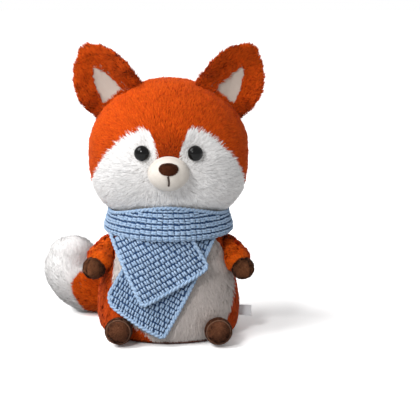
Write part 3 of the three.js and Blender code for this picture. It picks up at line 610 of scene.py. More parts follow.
def headForm():
    share = poleToPole(head["levels"], 0.02)
    width = head["halfWidth"] * headFullness(share, head["cheekPower"])
    depth = head["halfDepth"] * headFullness(share, head["chinPower"])
    height = head["centre"] + np.where(share > 0, head["rise"], head["drop"]) * share
    grid = ovalRings(width, depth, height, turns(head["sides"]))
    for place in eyePlaces.values():
        near = np.exp(-(np.linalg.norm(grid - place, axis=-1) / head["eyeHollowReach"]) ** 2)
        grid = grid - near[..., None] * headNormal(place) * head["eyeHollow"]

    def nap(points):
        outward = unit(points - np.array(head["napFrom"]))
        behind = smooth((points[:, 1:2] - head["napTurn"]) / head["napTurnReach"])
        return outward * (1 - behind) + np.array([0, 0, -1.0]) * behind

    return picked(sheetForm(grid, nap), lambda p: p[:, 2] > head["neck"] + head["clothAbove"])


def faceOutline(side):
    # the white of one side of the face, seen from the front
    place = lambda shares: np.array(shares) * [head["halfWidth"], head["rise"]] + [0, head["centre"]]
    return np.vstack([place(faceCorners), curved(place(faceShares), 90)]) * [-side, 1]


def onFace(points, side=None):
    sides = (-1, 1) if side is None else (side,)
    found = np.zeros(len(points), bool)
    for s in sides:
        found |= inside(points[:, [0, 2]], faceOutline(s)) & (points[:, 1] < head["faceBack"])
    return found


muzzle = {
    "halfWidth": 17.2, "halfRise": 14.4, "reach": 15, "height": 148.3, "sides": 64, "levels": 40,
    # how far the pile runs under it, and over how much of its size the pile is trimmed round it
    "pileUnder": 0.6, "trimReach": 0.9, "faceLeast": 0.45, "crownLeast": 0.5,
    # its edge is drawn in by its seam, and its middle a little pinched by the mouth's stitch
    "seamAt": 2.2, "seamReach": 1.6, "seamDepth": 0.9, "pinchReach": 1.5, "pinchDepth": 0.7, "pinchFrom": 4,
}


def muzzleShare(points, grow=0.0):
    # below 1 inside the muzzle's outline, seen from the front
    across = points[:, 0] / (muzzle["halfWidth"] + grow)
    return np.hypot(across, (points[:, 2] - muzzle["height"]) / (muzzle["halfRise"] + grow))


def eyeDistance(points):
    return np.min([np.linalg.norm(points - place, axis=1) for place in eyePlaces.values()], axis=0)


def clearOfFeatures(points):
    # no pile stands under the eyes or the muzzle, nor at the neck's edge
    offMuzzle = (muzzleShare(points, -muzzle["pileUnder"]) > 1) | (points[:, 1] > 0)
    offNeck = points[:, 2] > head["neck"] + head["pileAbove"]
    return offMuzzle & offNeck & (eyeDistance(points) > head["eyeClear"])


def trimAtMuzzle(points, least):
    return least + (1 - least) * smooth((muzzleShare(points) - 1) / muzzle["trimReach"])


def faceLength(points):
    # the pile is trimmed round the eyes and the muzzle
    fromEye, least = (eyeDistance(points) - head["eyeClear"]) / head["eyeTrim"], head["eyeLeast"]
    return (least + (1 - least) * smooth(fromEye)) * trimAtMuzzle(points, muzzle["faceLeast"])


def crownLength(points):
    return np.where(points[:, 1] < 0, trimAtMuzzle(points, muzzle["crownLeast"]), 1)


def buildHead():
    form = headForm()
    crown = picked(form, lambda p: ~onFace(p))
    stuffedSkin("crown_cloth", crown, head, orangeGround, "head", "head_crown")
    for label, side in bothSides:
        half = picked(form, lambda p: p[:, 0] * side > 0)
        growPile(f"crown_pile_{label}", half, seeded(crownPile, side), crownLook, "head",
                 lambda p, tip: ~onFace(tip) & clearOfFeatures(p), crownLength)
        face = picked(half, lambda p: onFace(p, side))
        cloth, node = f"face_cloth_{label}", f"face_{label}"
        stuffedSkin(cloth, face, head, whiteGround, "head", node)
        growPile(f"face_pile_{label}", half, seeded(facePile, side), whitePile, "head",
                 lambda p, tip: onFace(tip) & clearOfFeatures(p), faceLength)


buildHead()
print("head made")


# Muzzle, nose, mouth and eyes

nose = {
    "halfWidth": 7.5, "halfRise": 5.3, "reach": 4.6, "height": 153.7, "sink": 1.6, "sides": 56, "levels": 36,
    "power": 2.25, "taper": 0.07, "pileBack": 0.8,
}
mouth = {
    "top": 148.4, "bottom": 140.4, "radius": 0.85, "sink": 0.25, "points": 22, "sides": 10,
    "wander": 0.35, "wanderFrom": 140, "fade": 2,
}
eye = {
    "radius": 6.4, "bulge": 4.6, "flange": 1.2, "bevel": 0.3, "stem": 2, "stemLength": 9, "middle": 0.01,
    "sides": 48, "rings": 14,
}
nosePile = {
    "density": 22, "length": 1.3, "width": 0.3, "lift": 55, "fall": 0.7, "tuft": 1.6, "stray": 0.6,
    "loose": 0.5, "curl": 0.3, "sink": 0.4, "roll": 0.7, "shade": 0.2, "seed": 31,
}


def muzzleFrontAt(height):
    return -head["halfDepth"] - muzzle["reach"] * swell((height - muzzle["height"]) / muzzle["halfRise"])


def velourLook(name, tone, deep, grain=1500, fuzz=0.12):
    # short clipped pile, a little blotched, with a soft edge of light
    look = newLook(name, Roughness=0.92, Sheen_Weight=0.25, Sheen_Roughness=0.4, Specular_IOR_Level=0.2)
    fine, broad = look.noise(grain, 3.0, 0.6), look.noise(140, 2.0)
    share = ((fine - 0.5) * 1.2 + (broad - 0.5) * 0.9 + 0.5).clipped()
    return look.set(Base_Color=look.mix(share, paint(deep), paint(tone)), Normal=look.bump(fine, fuzz))


muzzleVelour = velourLook("muzzle_velour", "#e7e0d8", "#c9c0b5")
noseVelour = velourLook("nose_velour", "#5c3018", "#2f170a", 1100, 0.2)
nosePileLook = pileLook("nose_pile", "#261107", "#4a220e", "#6e3a20", patch=0.25)
blackThread = newLook("black_thread", Base_Color=paint("#2a1d17"), Roughness=0.8)
eyePlastic = newLook("eye_plastic", Base_Color=paint("#060505"), Roughness=0.12, Specular_IOR_Level=0.16)
washerPlastic = newLook("washer_plastic", Base_Color=paint("#e2e0da"), Roughness=0.5)


def finishRigidLooks():
    # faint tooling marks on the plastic, and the twist of the mouth's thread
    haze = eyePlastic.noise(900, 2.0)
    eyePlastic.set(Roughness=haze * 0.06 + 0.08)
    grain = washerPlastic.noise(700, 3.0)
    washerPlastic.set(Roughness=grain * 0.2 + 0.4, Normal=washerPlastic.bump(grain, 0.05))
    twist = blackThread.waves("DIAGONAL", 900, 1.5)
    blackThread.set(Base_Color=blackThread.mix(twist, paint("#1a120e"), paint("#4a372c")))
    blackThread.set(Normal=blackThread.bump(twist, 0.12))


finishRigidLooks()


def ellipsoidForm(s, centre, power=2.0):
    # its rings run from the front to the back, and a power over 2 makes them a little square
    share, angle = poleToPole(s["levels"], 0.03), turns(s["sides"])
    cosine, sine = np.cos(angle), np.sin(angle)
    out = (np.abs(cosine) ** power + np.abs(sine) ** power) ** (-1 / power)
    grid = np.stack([
        centre[0] + s["halfWidth"] * swell(share) * out * cosine,
        centre[1] + s["reach"] * share + 0 * angle,
        centre[2] + s["halfRise"] * swell(share) * out * sine,
    ], axis=-1)
    return turnedOver(sheetForm(grid, downwards))


def buildMuzzle():
    s, face = muzzle, -head["halfDepth"]
    form = ellipsoidForm(s, (0, face, s["height"]))
    edge = np.exp(-((form["points"][:, 1] - face + s["seamAt"]) / s["seamReach"]) ** 2)
    form = pressed(form, edge[:, None] * s["seamDepth"])
    x, y, z = form["points"].T
    pinch = np.exp(-(x / s["pinchReach"]) ** 2) * smooth((mouth["top"] + mouth["fade"] - z) / 4)
    pinch *= smooth((z - mouth["bottom"] + mouth["fade"]) / 3) * (y < face - s["pinchFrom"])
    form["points"][:, 1] += pinch * s["pinchDepth"]
    body = closedPiece("muzzle_velour", form, s["sides"], muzzleVelour, "head")
    declare(body, "muzzle")


def buildNose():
    s = nose
    centre = (0, muzzleFrontAt(s["height"]) + s["sink"], s["height"])
    form = ellipsoidForm(s, centre, s["power"])
    form["points"][:, 0] *= 1 + s["taper"] * (form["points"][:, 2] - s["height"]) / s["halfRise"]
    declare(closedPiece("nose_felt", form, s["sides"], noseVelour, "head"), "nose_pad")
    growPile("nose_pile", form, nosePile, nosePileLook, "head",
             lambda p, tip: p[:, 1] < centre[1] + s["pileBack"])


def buildMouth():
    heights = np.linspace(mouth["top"], mouth["bottom"], mouth["points"])
    across = mouth["wander"] * np.sin((heights - mouth["wanderFrom"]) * 0.5)
    front = muzzleFrontAt(heights) + muzzle["pinchDepth"] - mouth["sink"]
    line = np.stack([across, front, heights], axis=1)
    thread = tubePiece("mouth_thread", line, mouth["radius"], mouth["sides"], blackThread, "head")
    declare(thread, "mouth_stitch")


def tubePiece(name, line, radius, sides, look, body):
    # rings round a line, closed at both ends; no line here runs along the way that the rings start from
    along = unit(np.gradient(line, axis=0))
    side = unit(np.cross(along, [0.3, -1, 0.1]))
    top = np.cross(side, along)
    angle = turns(sides)[None, :, None]
    rings = line[:, None] + radius * (side[:, None] * np.cos(angle) + top[:, None] * np.sin(angle))
    faces = gridQuads(len(line), sides).tolist()
    faces += [list(range(sides))[::-1], [(len(line) - 1) * sides + j for j in range(sides)]]
    return meshPiece(name, rings.reshape(-1, 3), faces, look, body)


def turnedPoints(profile, sides, place, direction):
    # a profile of (radius, height) turned round a direction from a place
    direction = unit(np.array(direction, float))
    side = unit(np.cross(direction, [0.1, 0.2, 1]))
    top = np.cross(direction, side)
    angle = turns(sides)[None, :, None]
    profile = np.asarray(profile, float)
    radius, height = profile[:, :1, None], profile[:, 1:, None]
    return place + direction * height + radius * (side * np.cos(angle) + top * np.sin(angle))


def buildEyes():
    radius, stem, rim, bevel = (eye[k] for k in ("radius", "stem", "flange", "bevel"))
    profile = [(eye["middle"], -eye["stemLength"]), (stem, -eye["stemLength"]), (stem, -rim)]
    profile += [(radius - bevel, -rim), (radius, bevel - rim)]
    for turn in np.linspace(0, math.pi / 2, eye["rings"]):
        profile.append((max(radius * math.cos(turn), eye["middle"]), eye["bulge"] * math.sin(turn)))
    for label, side in bothSides:
        place = eyePlaces[side]
        grid = turnedPoints(profile, eye["sides"], place, headNormal(place))
        faces = gridQuads(*grid.shape[:2])
        dome = meshPiece(f"eye_dome_{label}", grid.reshape(-1, 3), faces, eyePlastic, "head")
        declare(dome, f"eye_{label}")


buildMuzzle()
buildNose()
buildMouth()
buildEyes()
print("muzzle, nose, mouth and eyes made")


# Ears

ear = {
    "length": 52, "halfWidth": 27, "thickness": 9, "cup": 9, "tipSkew": 5, "tipShare": 0.5, "cupStart": 0.33,
    "outer": (26, -3), "inner": (69.5, 24), "lean": 2, "rows": 70, "sides": 84, "from": -0.05, "to": 1.035,
    "closeFrom": 0.93, "closeReach": 0.11, "closeWidth": 0.4, "clothDepth": 1.6, "clothThickness": 0.7,
}
lining = {
    "halfWidth": 12, "start": 4, "length": 32, "power": 1.5, "rows": 44, "columns": 31, "thickness": 0.8,
    # how far the sheet runs on under the pile, and how it stands out from the ear's hollow
    "below": 3, "above": 1, "beside": 2.5, "lift": 0.9, "fullness": 1.6, "creases": 0.5,
    # the ear's ground makes room for it, and the pile covers its edge, more at its inner side
    "room": 2.6, "roomAround": 2, "pileOver": 1.4, "pileShift": 1.6,
}
earWidths = [0.93, 0.96, 0.985, 1, 0.98, 0.93, 0.85, 0.73, 0.54, 0.22]
earFur = {
    "density": 3.6, "length": 5.0, "width": 0.66, "lift": 48, "fall": 0.5, "tuft": 4.2, "stray": 0.75,
    "loose": 0.2, "curl": 0.5, "sink": 1.6, "roll": 0.5, "shade": 0.32, "seed": 41,
}


def earAxes(side):
    outer, inner = headPlace(side, *ear["outer"]), headPlace(side, *ear["inner"])
    along = unit((inner - outer) * -side)
    up = unit(np.cross([0, -1, 0], along))
    lean = math.radians(ear["lean"])
    up = up * math.cos(lean) + np.cross(along, up) * math.sin(lean)
    return np.array([along, np.cross(up, along), up]), (outer + inner) / 2


def earWidthAt(share):
    share = np.clip(share, 0, ear["closeFrom"] + ear["closeReach"])
    body = np.interp(share, np.linspace(0, 1, len(earWidths)), earWidths)
    closing = swell(np.clip((share - ear["closeFrom"]) / ear["closeReach"], 0, 1)) * ear["closeWidth"]
    return ear["halfWidth"] * np.where(share > ear["closeFrom"], np.minimum(body, closing), body)


def earPoint(side, across, share, facing):
    width = earWidthAt(share) / ear["halfWidth"]
    depth = -ear["cup"] * (across * width) ** 2 * np.minimum(share / ear["cupStart"], 1)
    taper = 1 + (ear["tipShare"] - 1) * np.clip(share, 0, 1)
    thick = ear["thickness"] / 2 * taper * np.minimum(1, width * 2.2)
    return np.stack(np.broadcast_arrays(
        ear["halfWidth"] * width * across - side * ear["tipSkew"] * share,
        depth + thick * facing,
        ear["length"] * share,
    ), axis=-1)


satin = newLook("cream_satin", Roughness=0.55, Sheen_Weight=0.3, Sheen_Roughness=0.4, Specular_IOR_Level=0.35)


def finishSatin():
    # fine threads across the cloth, with faint creases
    threads = satin.waves("Z", 700, 0.6)
    blotches = satin.noise(60, 3.0)
    satin.set(Base_Color=satin.mix(blotches, paint("#c3b2a4"), paint("#ddd0c5")))
    satin.set(Normal=satin.bump(threads * 0.4 + satin.noise(120, 2.0), 0.35))


finishSatin()


def liningShare(points, side, grow, shift=0.0):
    # below 1 inside the lining's outline, on the ear's front
    axes, middle = earAxes(side)
    x, y, z = ((points - middle) @ axes.T).T
    up = (z - lining["start"] + grow) / (lining["length"] + 2 * grow)
    across = x + side * (ear["tipSkew"] * z / ear["length"] - shift)
    half = lining["halfWidth"] * swell(0.95 * np.clip(up, 0, 1), lining["power"]) + grow
    cup = -ear["cup"] * (across / ear["halfWidth"]) ** 2
    front = y < cup * np.minimum(z / ear["length"] / ear["cupStart"], 1)
    onEar = front & (up > 0) & (up < 1) & (earWidthAt(z / ear["length"]) > 0)
    return np.where(onEar, np.abs(across) / half, 9)


def buildEar(label, side):
    axes, middle = earAxes(side)
    share, angle = np.linspace(ear["from"], ear["to"], ear["rows"])[:, None], turns(ear["sides"])
    grid = earPoint(side, np.cos(angle), share, np.sin(angle)) @ axes + middle
    form = sheetForm(grid, towards(axes[2]))
    room = smooth((1.15 - liningShare(form["points"], side, lining["roomAround"])) / 0.3) * lining["room"]
    ground = {**form, "points": form["points"] + axes[1] * room[:, None]}
    body = f"ear_{label}"
    cloth = stuffedSkin(f"ear_cloth_{label}", ground, ear, orangeGround, body, body)
    growPile(f"ear_pile_{label}", form, seeded(earFur, side), earPile, body,
             lambda p, tip: liningShare(p, side, -lining["pileOver"], lining["pileShift"]) > 1)
    buildLining(label, side)


def buildLining(label, side):
    # one sheet of satin in the ear's hollow, a little full and faintly creased
    axes, middle = earAxes(side)
    rows = np.linspace(0, 1, lining["rows"])[:, None]
    columns = np.linspace(-1, 1, lining["columns"])[None]
    length = lining["below"] + lining["length"] + lining["above"]
    up = (lining["start"] - lining["below"] + rows * length) / ear["length"]
    half = (lining["halfWidth"] + lining["beside"]) * swell(0.93 * rows, lining["power"])
    across = half / earWidthAt(up) * columns
    grid = earPoint(side, across, up, -np.sqrt(np.clip(1 - across ** 2, 0, 1)))
    full = lining["fullness"] * (1 - columns ** 2) * np.sin(np.clip(rows * 1.1, 0, 1) * math.pi)
    creases = 0.35 * np.sin(columns * 5 + rows * 4) * np.sin(rows * math.pi)
    creases = creases + 0.3 * np.sin(rows * 9 - columns * 3)
    grid[..., 1] += lining["lift"] + full + creases * lining["creases"]
    form = sheetForm(grid @ axes + middle, towards(axes[2]), wraps=False)
    if np.mean(form["normals"] @ axes[1]) > 0:
        form = turnedOver(form)
    piece = clothPiece(f"ear_satin_{label}", form, 0, lining["thickness"], satin, f"ear_{label}")
    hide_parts(f"ear_lining_{label}")


for label, side in bothSides:
    buildEar(label, side)
print("ears made")


# Torso

torso = {
    "halfWidth": 61.5, "halfDepth": 53, "top": 103.7, "seat": 3.3, "bellyBack": -8, "levels": 90,
    "sides": 128, "clothDepth": 2.2, "clothThickness": 0.9, "napSpread": 0.004,
    # no pile stands under the scarf's band, beside a rounded root or down on the table
    "collarFrom": 100, "rootTrim": 0.7, "tableGap": 0.3,
}
# rings of the seat: out from the middle of the underside, round the seam and in again above it
seat = {
    "heights": (0.05, 0.05, 0.3, 1.2, 2.6, 3.0), "shares": (0.02, 0.82, 0.93, 0.985, 1.0, 0.5),
    "sizeAt": 1.5, "sides": 96,
}
torsoShares = np.array([
    (0, 0.88, 0.85), (0.04, 0.945, 0.92), (0.12, 0.985, 0.97), (0.27, 1, 1), (0.45, 0.955, 0.96),
    (0.63, 0.875, 0.88), (0.76, 0.815, 0.81), (0.86, 0.76, 0.75), (0.94, 0.69, 0.66), (1, 0.62, 0.56),
])
bellyRightShares = [
    (-0.5, 1.1), (-0.62, 0.88), (-0.74, 0.68), (-0.77, 0.47), (-0.71, 0.34), (-0.6, 0.22),
    (-0.44, 0.13), (-0.28, 0.06), (-0.14, -0.1),
]
bellyLeftShares = [
    (0.5, 1.1), (0.62, 0.88), (0.8, 0.68), (0.925, 0.47), (0.915, 0.34), (0.86, 0.22),
    (0.78, 0.13), (0.66, 0.06), (0.52, -0.1),
]
bodyPile = {
    "density": 2.8, "length": 4.6, "width": 0.6, "lift": 36, "fall": 0.4, "tuft": 4.5, "stray": 0.55,
    "loose": 0.2, "curl": 0.35, "sink": 2.0, "roll": 0.5, "shade": 0.2, "seed": 51,
}
bellyPile = {
    "density": 3.6, "length": 5.4, "width": 0.55, "lift": 34, "fall": 0.35, "tuft": 8, "stray": 0.35,
    "loose": 0.18, "curl": 0.2, "sink": 2.0, "roll": 0.5, "shade": 0.1, "seed": 61,
}


def torsoAt(height):
    share = np.clip(height / torso["top"], 0, 1)
    found = []
    for column, size in ((1, torso["halfWidth"]), (2, torso["halfDepth"])):
        line = curved(torsoShares[:, [0, column]], 120)
        found.append(size * np.interp(share, line[:, 0], line[:, 1]))
    return found


def torsoDepthShare(points, grow=0.0):
    # below 1 inside the torso
    width, depth = torsoAt(points[:, 2])
    share = np.hypot(points[:, 0] / (width + grow), points[:, 1] / (depth + grow))
    return np.where(points[:, 2] > torso["top"], 9, share)


def onBelly(points):
    size = np.array([torso["halfWidth"], torso["top"]])
    right, left = (curved(np.array(shares) * size, 60) for shares in (bellyRightShares, bellyLeftShares))
    outline = np.vstack([right, left[::-1]])
    return inside(points[:, [0, 2]], outline) & (points[:, 1] < torso["bellyBack"])


def torsoForm():
    heights = np.linspace(torso["seat"], torso["top"], torso["levels"])[:, None]
    grid = ovalRings(*torsoAt(heights), heights, turns(torso["sides"]))
    return sheetForm(grid, lambda p: downwards(p) + p * [torso["napSpread"], torso["napSpread"], 0])


shoulder = {"out": 50, "forward": 5, "height": 75, "opening": 11.3}
hip = {"out": 41, "forward": 42, "height": 14, "opening": 7.8}
tailStart, tailOpening = np.array([0, 50, 19.78]), 10.4


def rootAt(joint, side):
    return np.array([side * joint["out"], -joint["forward"], joint["height"]])


roots = [(tailStart, tailOpening)]
roots += [(rootAt(joint, side), joint["opening"]) for side in (-1, 1) for joint in (shoulder, hip)]


def clearOfRoots(points, spare=0.0):
    # the skins are open where a rounded root goes in
    clear = np.ones(len(points), bool)
    for place, radius in roots:
        clear &= np.linalg.norm(points - place, axis=1) > radius + spare
    return clear


def buildTorso():
    form = torsoForm()
    back = picked(form, lambda p: ~onBelly(p) & clearOfRoots(p))
    stuffedSkin("back_cloth", back, torso, orangeGround, "torso", "torso_back")
    belly = picked(form, lambda p: onBelly(p) & clearOfRoots(p))
    stuffedSkin("belly_cloth", belly, torso, whiteGround, "torso", "belly_panel")
    plain = picked(form, lambda p: p[:, 2] <= torso["collarFrom"])
    free = lambda p, tip: clearOfRoots(p, torso["rootTrim"]) & (tip[:, 2] > torso["tableGap"])
    growPile("back_pile", plain, bodyPile, orangePile, "torso",
             lambda p, tip: ~onBelly(tip) & free(p, tip), seatLength)
    growPile("belly_pile", plain, bellyPile, bellyShadedWhite, "torso",
             lambda p, tip: onBelly(tip) & free(p, tip), seatLength)

    # the seat: a flat disc of the same cloth, painted darker as shade, rounded up to the side seam
    heights, shares = (np.array(seat[k])[:, None] for k in ("heights", "shares"))
    width, depth = torsoAt(np.array([[seat["sizeAt"]]]))
    rings = ovalRings(width * shares, depth * shares, heights, turns(seat["sides"]))
    form = sheetForm(rings, towards((0, 1, 0)))
    cloth = closedPiece("seat_cloth", form, seat["sides"], seatShadedGround, "torso")
    declare(cloth, "seat_panel")


def seatLength(points):
    # the pile shortens towards the table
    return 0.6 + 0.4 * smooth((points[:, 2] - 3) / 10)


buildTorso()
print("torso made")


# Arms, paws, feet and soles

arm = {
    "ball": 11.5, "cuff": 12.8, "reach": 14, "rounding": 10, "splay": 37, "droop": 32,
    "clothDepth": 1.6, "clothThickness": 0.8,
}
paw = {
    "radius": 9.4, "reach": 26.2, "levels": 40, "seamReach": 0.7, "seamDepth": 0.9, "sleeveGap": 0.2,
    "pileFrom": 2, "clothDepth": 0.5, "clothThickness": 0.6,
}
foot = {
    "ball": 8, "cuff": 11.2, "reach": 12, "rounding": 8, "splay": 4, "droop": 0, "soleDepth": 4.5,
    "seamReach": 0.7, "seamDepth": 0.7, "thread": 0.32, "threadSink": 0.25, "threadPoints": 90,
    "threadSides": 8, "clothDepth": 0.5, "clothThickness": 0.6,
}
# clothIn and pileOut: how far outside the torso's surface a limb's cloth and its pile begin
limb = {"sides": 64, "endPower": 2.2, "clothIn": -6, "pileOut": 0.5, "tableGap": 0.8}
# along a seam the pile is caught short
seamPile = {"least": 0.25, "reach": 1.6}
armFur = {
    "density": 5.0, "length": 3.6, "width": 0.6, "lift": 42, "fall": 0.45, "tuft": 3.4, "stray": 0.7,
    "loose": 0.2, "curl": 0.45, "sink": 1.5, "roll": 0.5, "shade": 0.28, "seed": 71,
}
shortPile = {
    "density": 14, "length": 1.7, "width": 0.36, "lift": 48, "fall": 0.6, "tuft": 2.4, "stray": 0.7,
    "loose": 0.4, "curl": 0.3, "sink": 0.5, "roll": 0.6, "shade": 0.2, "seed": 81,
}
brownPile = pileLook("brown_pile", "#30180e", "#653923", "#9a6644", patch=0.35)
# the foot's upper pile is a lighter copy of the brown pile: painted light, where the pile is seen at a
# grazing angle
litFootPile = pileLook("foot_lit_pile", "#3c2014", "#7a4a30", "#b07c58", patch=0.35)
solePile = pileLook("sole_pile", "#2e180f", "#663a26", "#976446", patch=0.5)
brownGround = groundLook("brown_ground", "#43281b")
seamThread = newLook("seam_thread", Base_Color=paint("#7c5640"), Roughness=0.8)
seamThread.set(Normal=seamThread.bump(seamThread.noise(1200), 0.15))


def stubForm(s, start, direction):
    # a round-ended stub: a ball at its root, widest at the reach, then closing
    ball, end = s["ball"], s["cuff"]
    arc = np.linspace(0.08, math.pi / 2, 14, endpoint=False)
    widening = np.linspace(0, 1, 16, endpoint=False)
    closing = np.concatenate([np.linspace(0, 0.99, 21), [0.9999]])
    profile = [(ball * math.sin(a), -ball * math.cos(a)) for a in arc]
    profile += [(ball + (end - ball) * smooth(t), s["reach"] * t) for t in widening]
    profile += [(end * swell(t, limb["endPower"]), s["reach"] + s["rounding"] * t) for t in closing]
    return sheetForm(turnedPoints(profile, limb["sides"], start, direction), towards(direction))


def limbDirection(s, side):
    splay, droop = math.radians(s["splay"]), math.radians(s["droop"])
    level = math.cos(droop)
    return np.array([side * math.sin(splay) * level, -math.cos(splay) * level, -math.sin(droop)])


def drawnIn(form, place, way, s):
    # pressed in along the seam that crosses a place
    dip = np.exp(-(((form["points"] - place) @ way) / s["seamReach"]) ** 2)[:, None]
    return pressed(form, dip * s["seamDepth"])


def seamTrim(place, way):
    least = seamPile["least"]
    return lambda p: least + (1 - least) * smooth(np.abs((p - place) @ way) / seamPile["reach"])


def offTorso(points):
    return torsoDepthShare(points, limb["pileOut"]) > 1


def buildArms():
    for label, side in bothSides:
        start, direction, body = rootAt(shoulder, side), limbDirection(arm, side), f"arm_{label}"
        sleeve = picked(stubForm(arm, start, direction), lambda p: torsoDepthShare(p, limb["clothIn"]) > 1)
        stuffedSkin(f"sleeve_cloth_{label}", sleeve, arm, orangeGround, body, body)
        middle = start + direction * paw["reach"]
        offPaw = lambda p: np.linalg.norm(p - middle, axis=1) > paw["radius"] + paw["sleeveGap"]
        growPile(f"sleeve_pile_{label}", sleeve, seeded(armFur, side), litLimbPile, body,
                 lambda p, tip: offTorso(p) & offPaw(p))

        # the paw: a small stuffed ball of two halves, drawn in at their seam
        arc = np.linspace(0.05, math.pi - 0.05, paw["levels"])
        profile = [(paw["radius"] * math.sin(a), -paw["radius"] * math.cos(a)) for a in arc]
        across = unit(np.cross(direction, [0, 0, 1]))
        form = sheetForm(turnedPoints(profile, limb["sides"], middle, direction), towards(direction))
        form = drawnIn(form, middle, across, paw)
        stuffedSkin(f"paw_cloth_{label}", form, paw, brownGround, body, f"paw_{label}")
        keep = lambda p, tip: (p - start) @ direction > arm["reach"] + paw["pileFrom"]
        growPile(f"paw_pile_{label}", form, seeded(shortPile, side), brownPile, body,
                 keep, seamTrim(middle, across))


def buildFeet():
    for label, side in bothSides:
        start, direction, body = rootAt(hip, side), limbDirection(foot, side), f"foot_{label}"
        seamAt = foot["reach"] + foot["rounding"] - foot["soleDepth"]
        seam = start + direction * seamAt
        # the seam between the foot and its sole is drawn in a little
        form = drawnIn(stubForm(foot, start, direction), seam, direction, foot)
        beyond = lambda p: (p - start) @ direction >= seamAt
        upper = picked(form, lambda p: ~beyond(p) & (torsoDepthShare(p, limb["clothIn"]) > 1))
        sole = picked(form, beyond)
        keep = lambda p, tip: offTorso(p) & (p[:, 2] > limb["tableGap"])
        trim = seamTrim(seam, direction)
        for name, part, look, step in (("foot", upper, litFootPile, 0), ("sole", sole, solePile, 7)):
            node, s = f"{name}_{label}", seeded(shortPile, step + side * 2)
            stuffedSkin(f"{name}_cloth_{label}", part, foot, brownGround, body, node)
            growPile(f"{name}_pile_{label}", part, s, look, body, keep, trim)
        radius = foot["cuff"] * swell((seamAt - foot["reach"]) / foot["rounding"], limb["endPower"])
        profile = [(radius - foot["threadSink"], seamAt)]
        ring = turnedPoints(profile, foot["threadPoints"], start, direction)[0]
        ring = np.vstack([ring, ring[:1]])
        thread = tubePiece(f"sole_seam_{label}", ring, foot["thread"], foot["threadSides"], seamThread, body)
        declare(thread)


buildArms()
buildFeet()
print("arms and feet made")


# Tail

tail = {
    "restDepth": 62, "fatRadius": 25.5, "topHeight": 70, "out": 87, "seam": 0.75, "closing": 0.6,
    "rings": 150, "sides": 84, "clothDepth": 2.2, "clothThickness": 0.9,
    # how far the orange pile runs on past the seam, by how far outwards from the tail's middle
    "orangeReach": [(-25, 0), (-17.8, 3.9), (-8.9, 8.4), (2.7, 8), (10.5, 0), (15.6, -12.3), (19, -26),
                    (26, -44)],
}
tailRadii = [0.42, 0.44, 0.5, 0.58, 0.68, 0.77, 0.86, 0.95, 1, 0.97, 0.8]
tailPath = [(0, 0, 0), (0.09, 0.6, 0), (0.38, 0.98, 0), (0.82, 1, 0.16), (1, 0.98, 0.62), (1, 0.94, 1)]
tailFur = {
    "density": 3.4, "length": 4.6, "width": 0.6, "lift": 36, "fall": 0.4, "tuft": 4.2, "stray": 0.5,
    "loose": 0.18, "curl": 0.35, "sink": 2.0, "roll": 0.5, "shade": 0.24, "seed": 91,
}
tipFur = {
    "density": 4.4, "length": 6.2, "width": 0.5, "lift": 44, "fall": 0.6, "tuft": 12, "stray": 0.15,
    "loose": 0.22, "curl": 0.12, "sink": 2.4, "roll": 0.6, "shade": 0.05, "seed": 97,
}


def tailForm():
    end = np.array([-tail["out"], tail["restDepth"], tail["topHeight"] - tail["closing"] * tail["fatRadius"]])
    path = np.array([tailStart + (end - tailStart) * np.array(p) for p in tailPath])
    line = curved(path, tail["rings"])
    along = unit(np.gradient(line, axis=0))
    share = np.linspace(0, 1, tail["rings"])
    radius = tail["fatRadius"] * np.interp(share, np.linspace(0, 1, len(tailRadii)), tailRadii)
    radius = np.convolve(np.pad(radius, 8, mode="edge"), np.ones(17) / 17, mode="valid")
    closing = np.linspace(0.03, 0.998, 26)
    tipLine = line[-1] + along[-1] * (tail["closing"] * tail["fatRadius"] * closing)[:, None]
    seam = int(tail["seam"] * (tail["rings"] - 1))
    seamPlace, seamWay = line[seam], along[seam]
    # a rounded root, so that it stays closed as the tail swings
    arc = np.linspace(0.06, math.pi / 2, 12, endpoint=False)
    rootLine = line[0] - along[0] * (radius[0] * np.cos(arc))[:, None]
    line = np.vstack([rootLine, line, tipLine])
    radius = np.concatenate([radius[0] * np.sin(arc), radius, radius[-1] * swell(closing)])
    along = np.vstack([along[:1]] * len(arc) + [along] + [along[-1:]] * len(closing))
    side = unit(np.cross(along, [0.0, 1, 0.05]))
    for i in range(1, len(side)):
        side[i] = unit(side[i - 1] - along[i] * (side[i - 1] @ along[i]))
    top = np.cross(side, along)
    angle = turns(tail["sides"])[None, :, None]
    ring = side[:, None] * np.cos(angle) + top[:, None] * np.sin(angle)
    everyPoint = lambda values: np.repeat(values, tail["sides"], axis=0)
    form = sheetForm(line[:, None] + radius[:, None, None] * ring, lambda p: everyPoint(along))
    if np.mean(dots(form["normals"], form["points"] - everyPoint(line))) < 0:
        form = turnedOver(form)
    return form, seamPlace, seamWay


def buildTail():
    form, seamPlace, seamWay = tailForm()
    past = lambda p: (p - seamPlace) @ seamWay
    outward = unit(np.array([-seamWay[2], 0, seamWay[0]]))
    reach = np.array(tail["orangeReach"])

    def isWhite(points):
        # the white pile starts along a curve, round the orange tail's full end
        return past(points) > np.interp((points - seamPlace) @ outward, reach[:, 0], reach[:, 1])

    for name, white, node, look, ground, fur, slot in (
            ("tail", False, "tail_base", litLimbPile, orangeGround, tailFur, "orange_plush"),
            ("tail_tip", True, "tail_tip", whitePile, whiteGround, tipFur, "white_plush")):
        skin = picked(form, lambda p: (past(p) > 0) == white)
        stuffedSkin(f"{name}_cloth", skin, tail, ground, "tail", node)
        free = lambda p, tip: offTorso(p) & (tip[:, 2] > limb["tableGap"])
        growPile(f"{name}_pile", form, fur, look, "tail",
                 lambda p, tip: free(p, tip) & (isWhite(p) == white))


buildTail()
print("tail made")


# Scarf: rows of coiled yarn over a thin dark ground, painted shade between the stitches, as one band and two
# loose ends

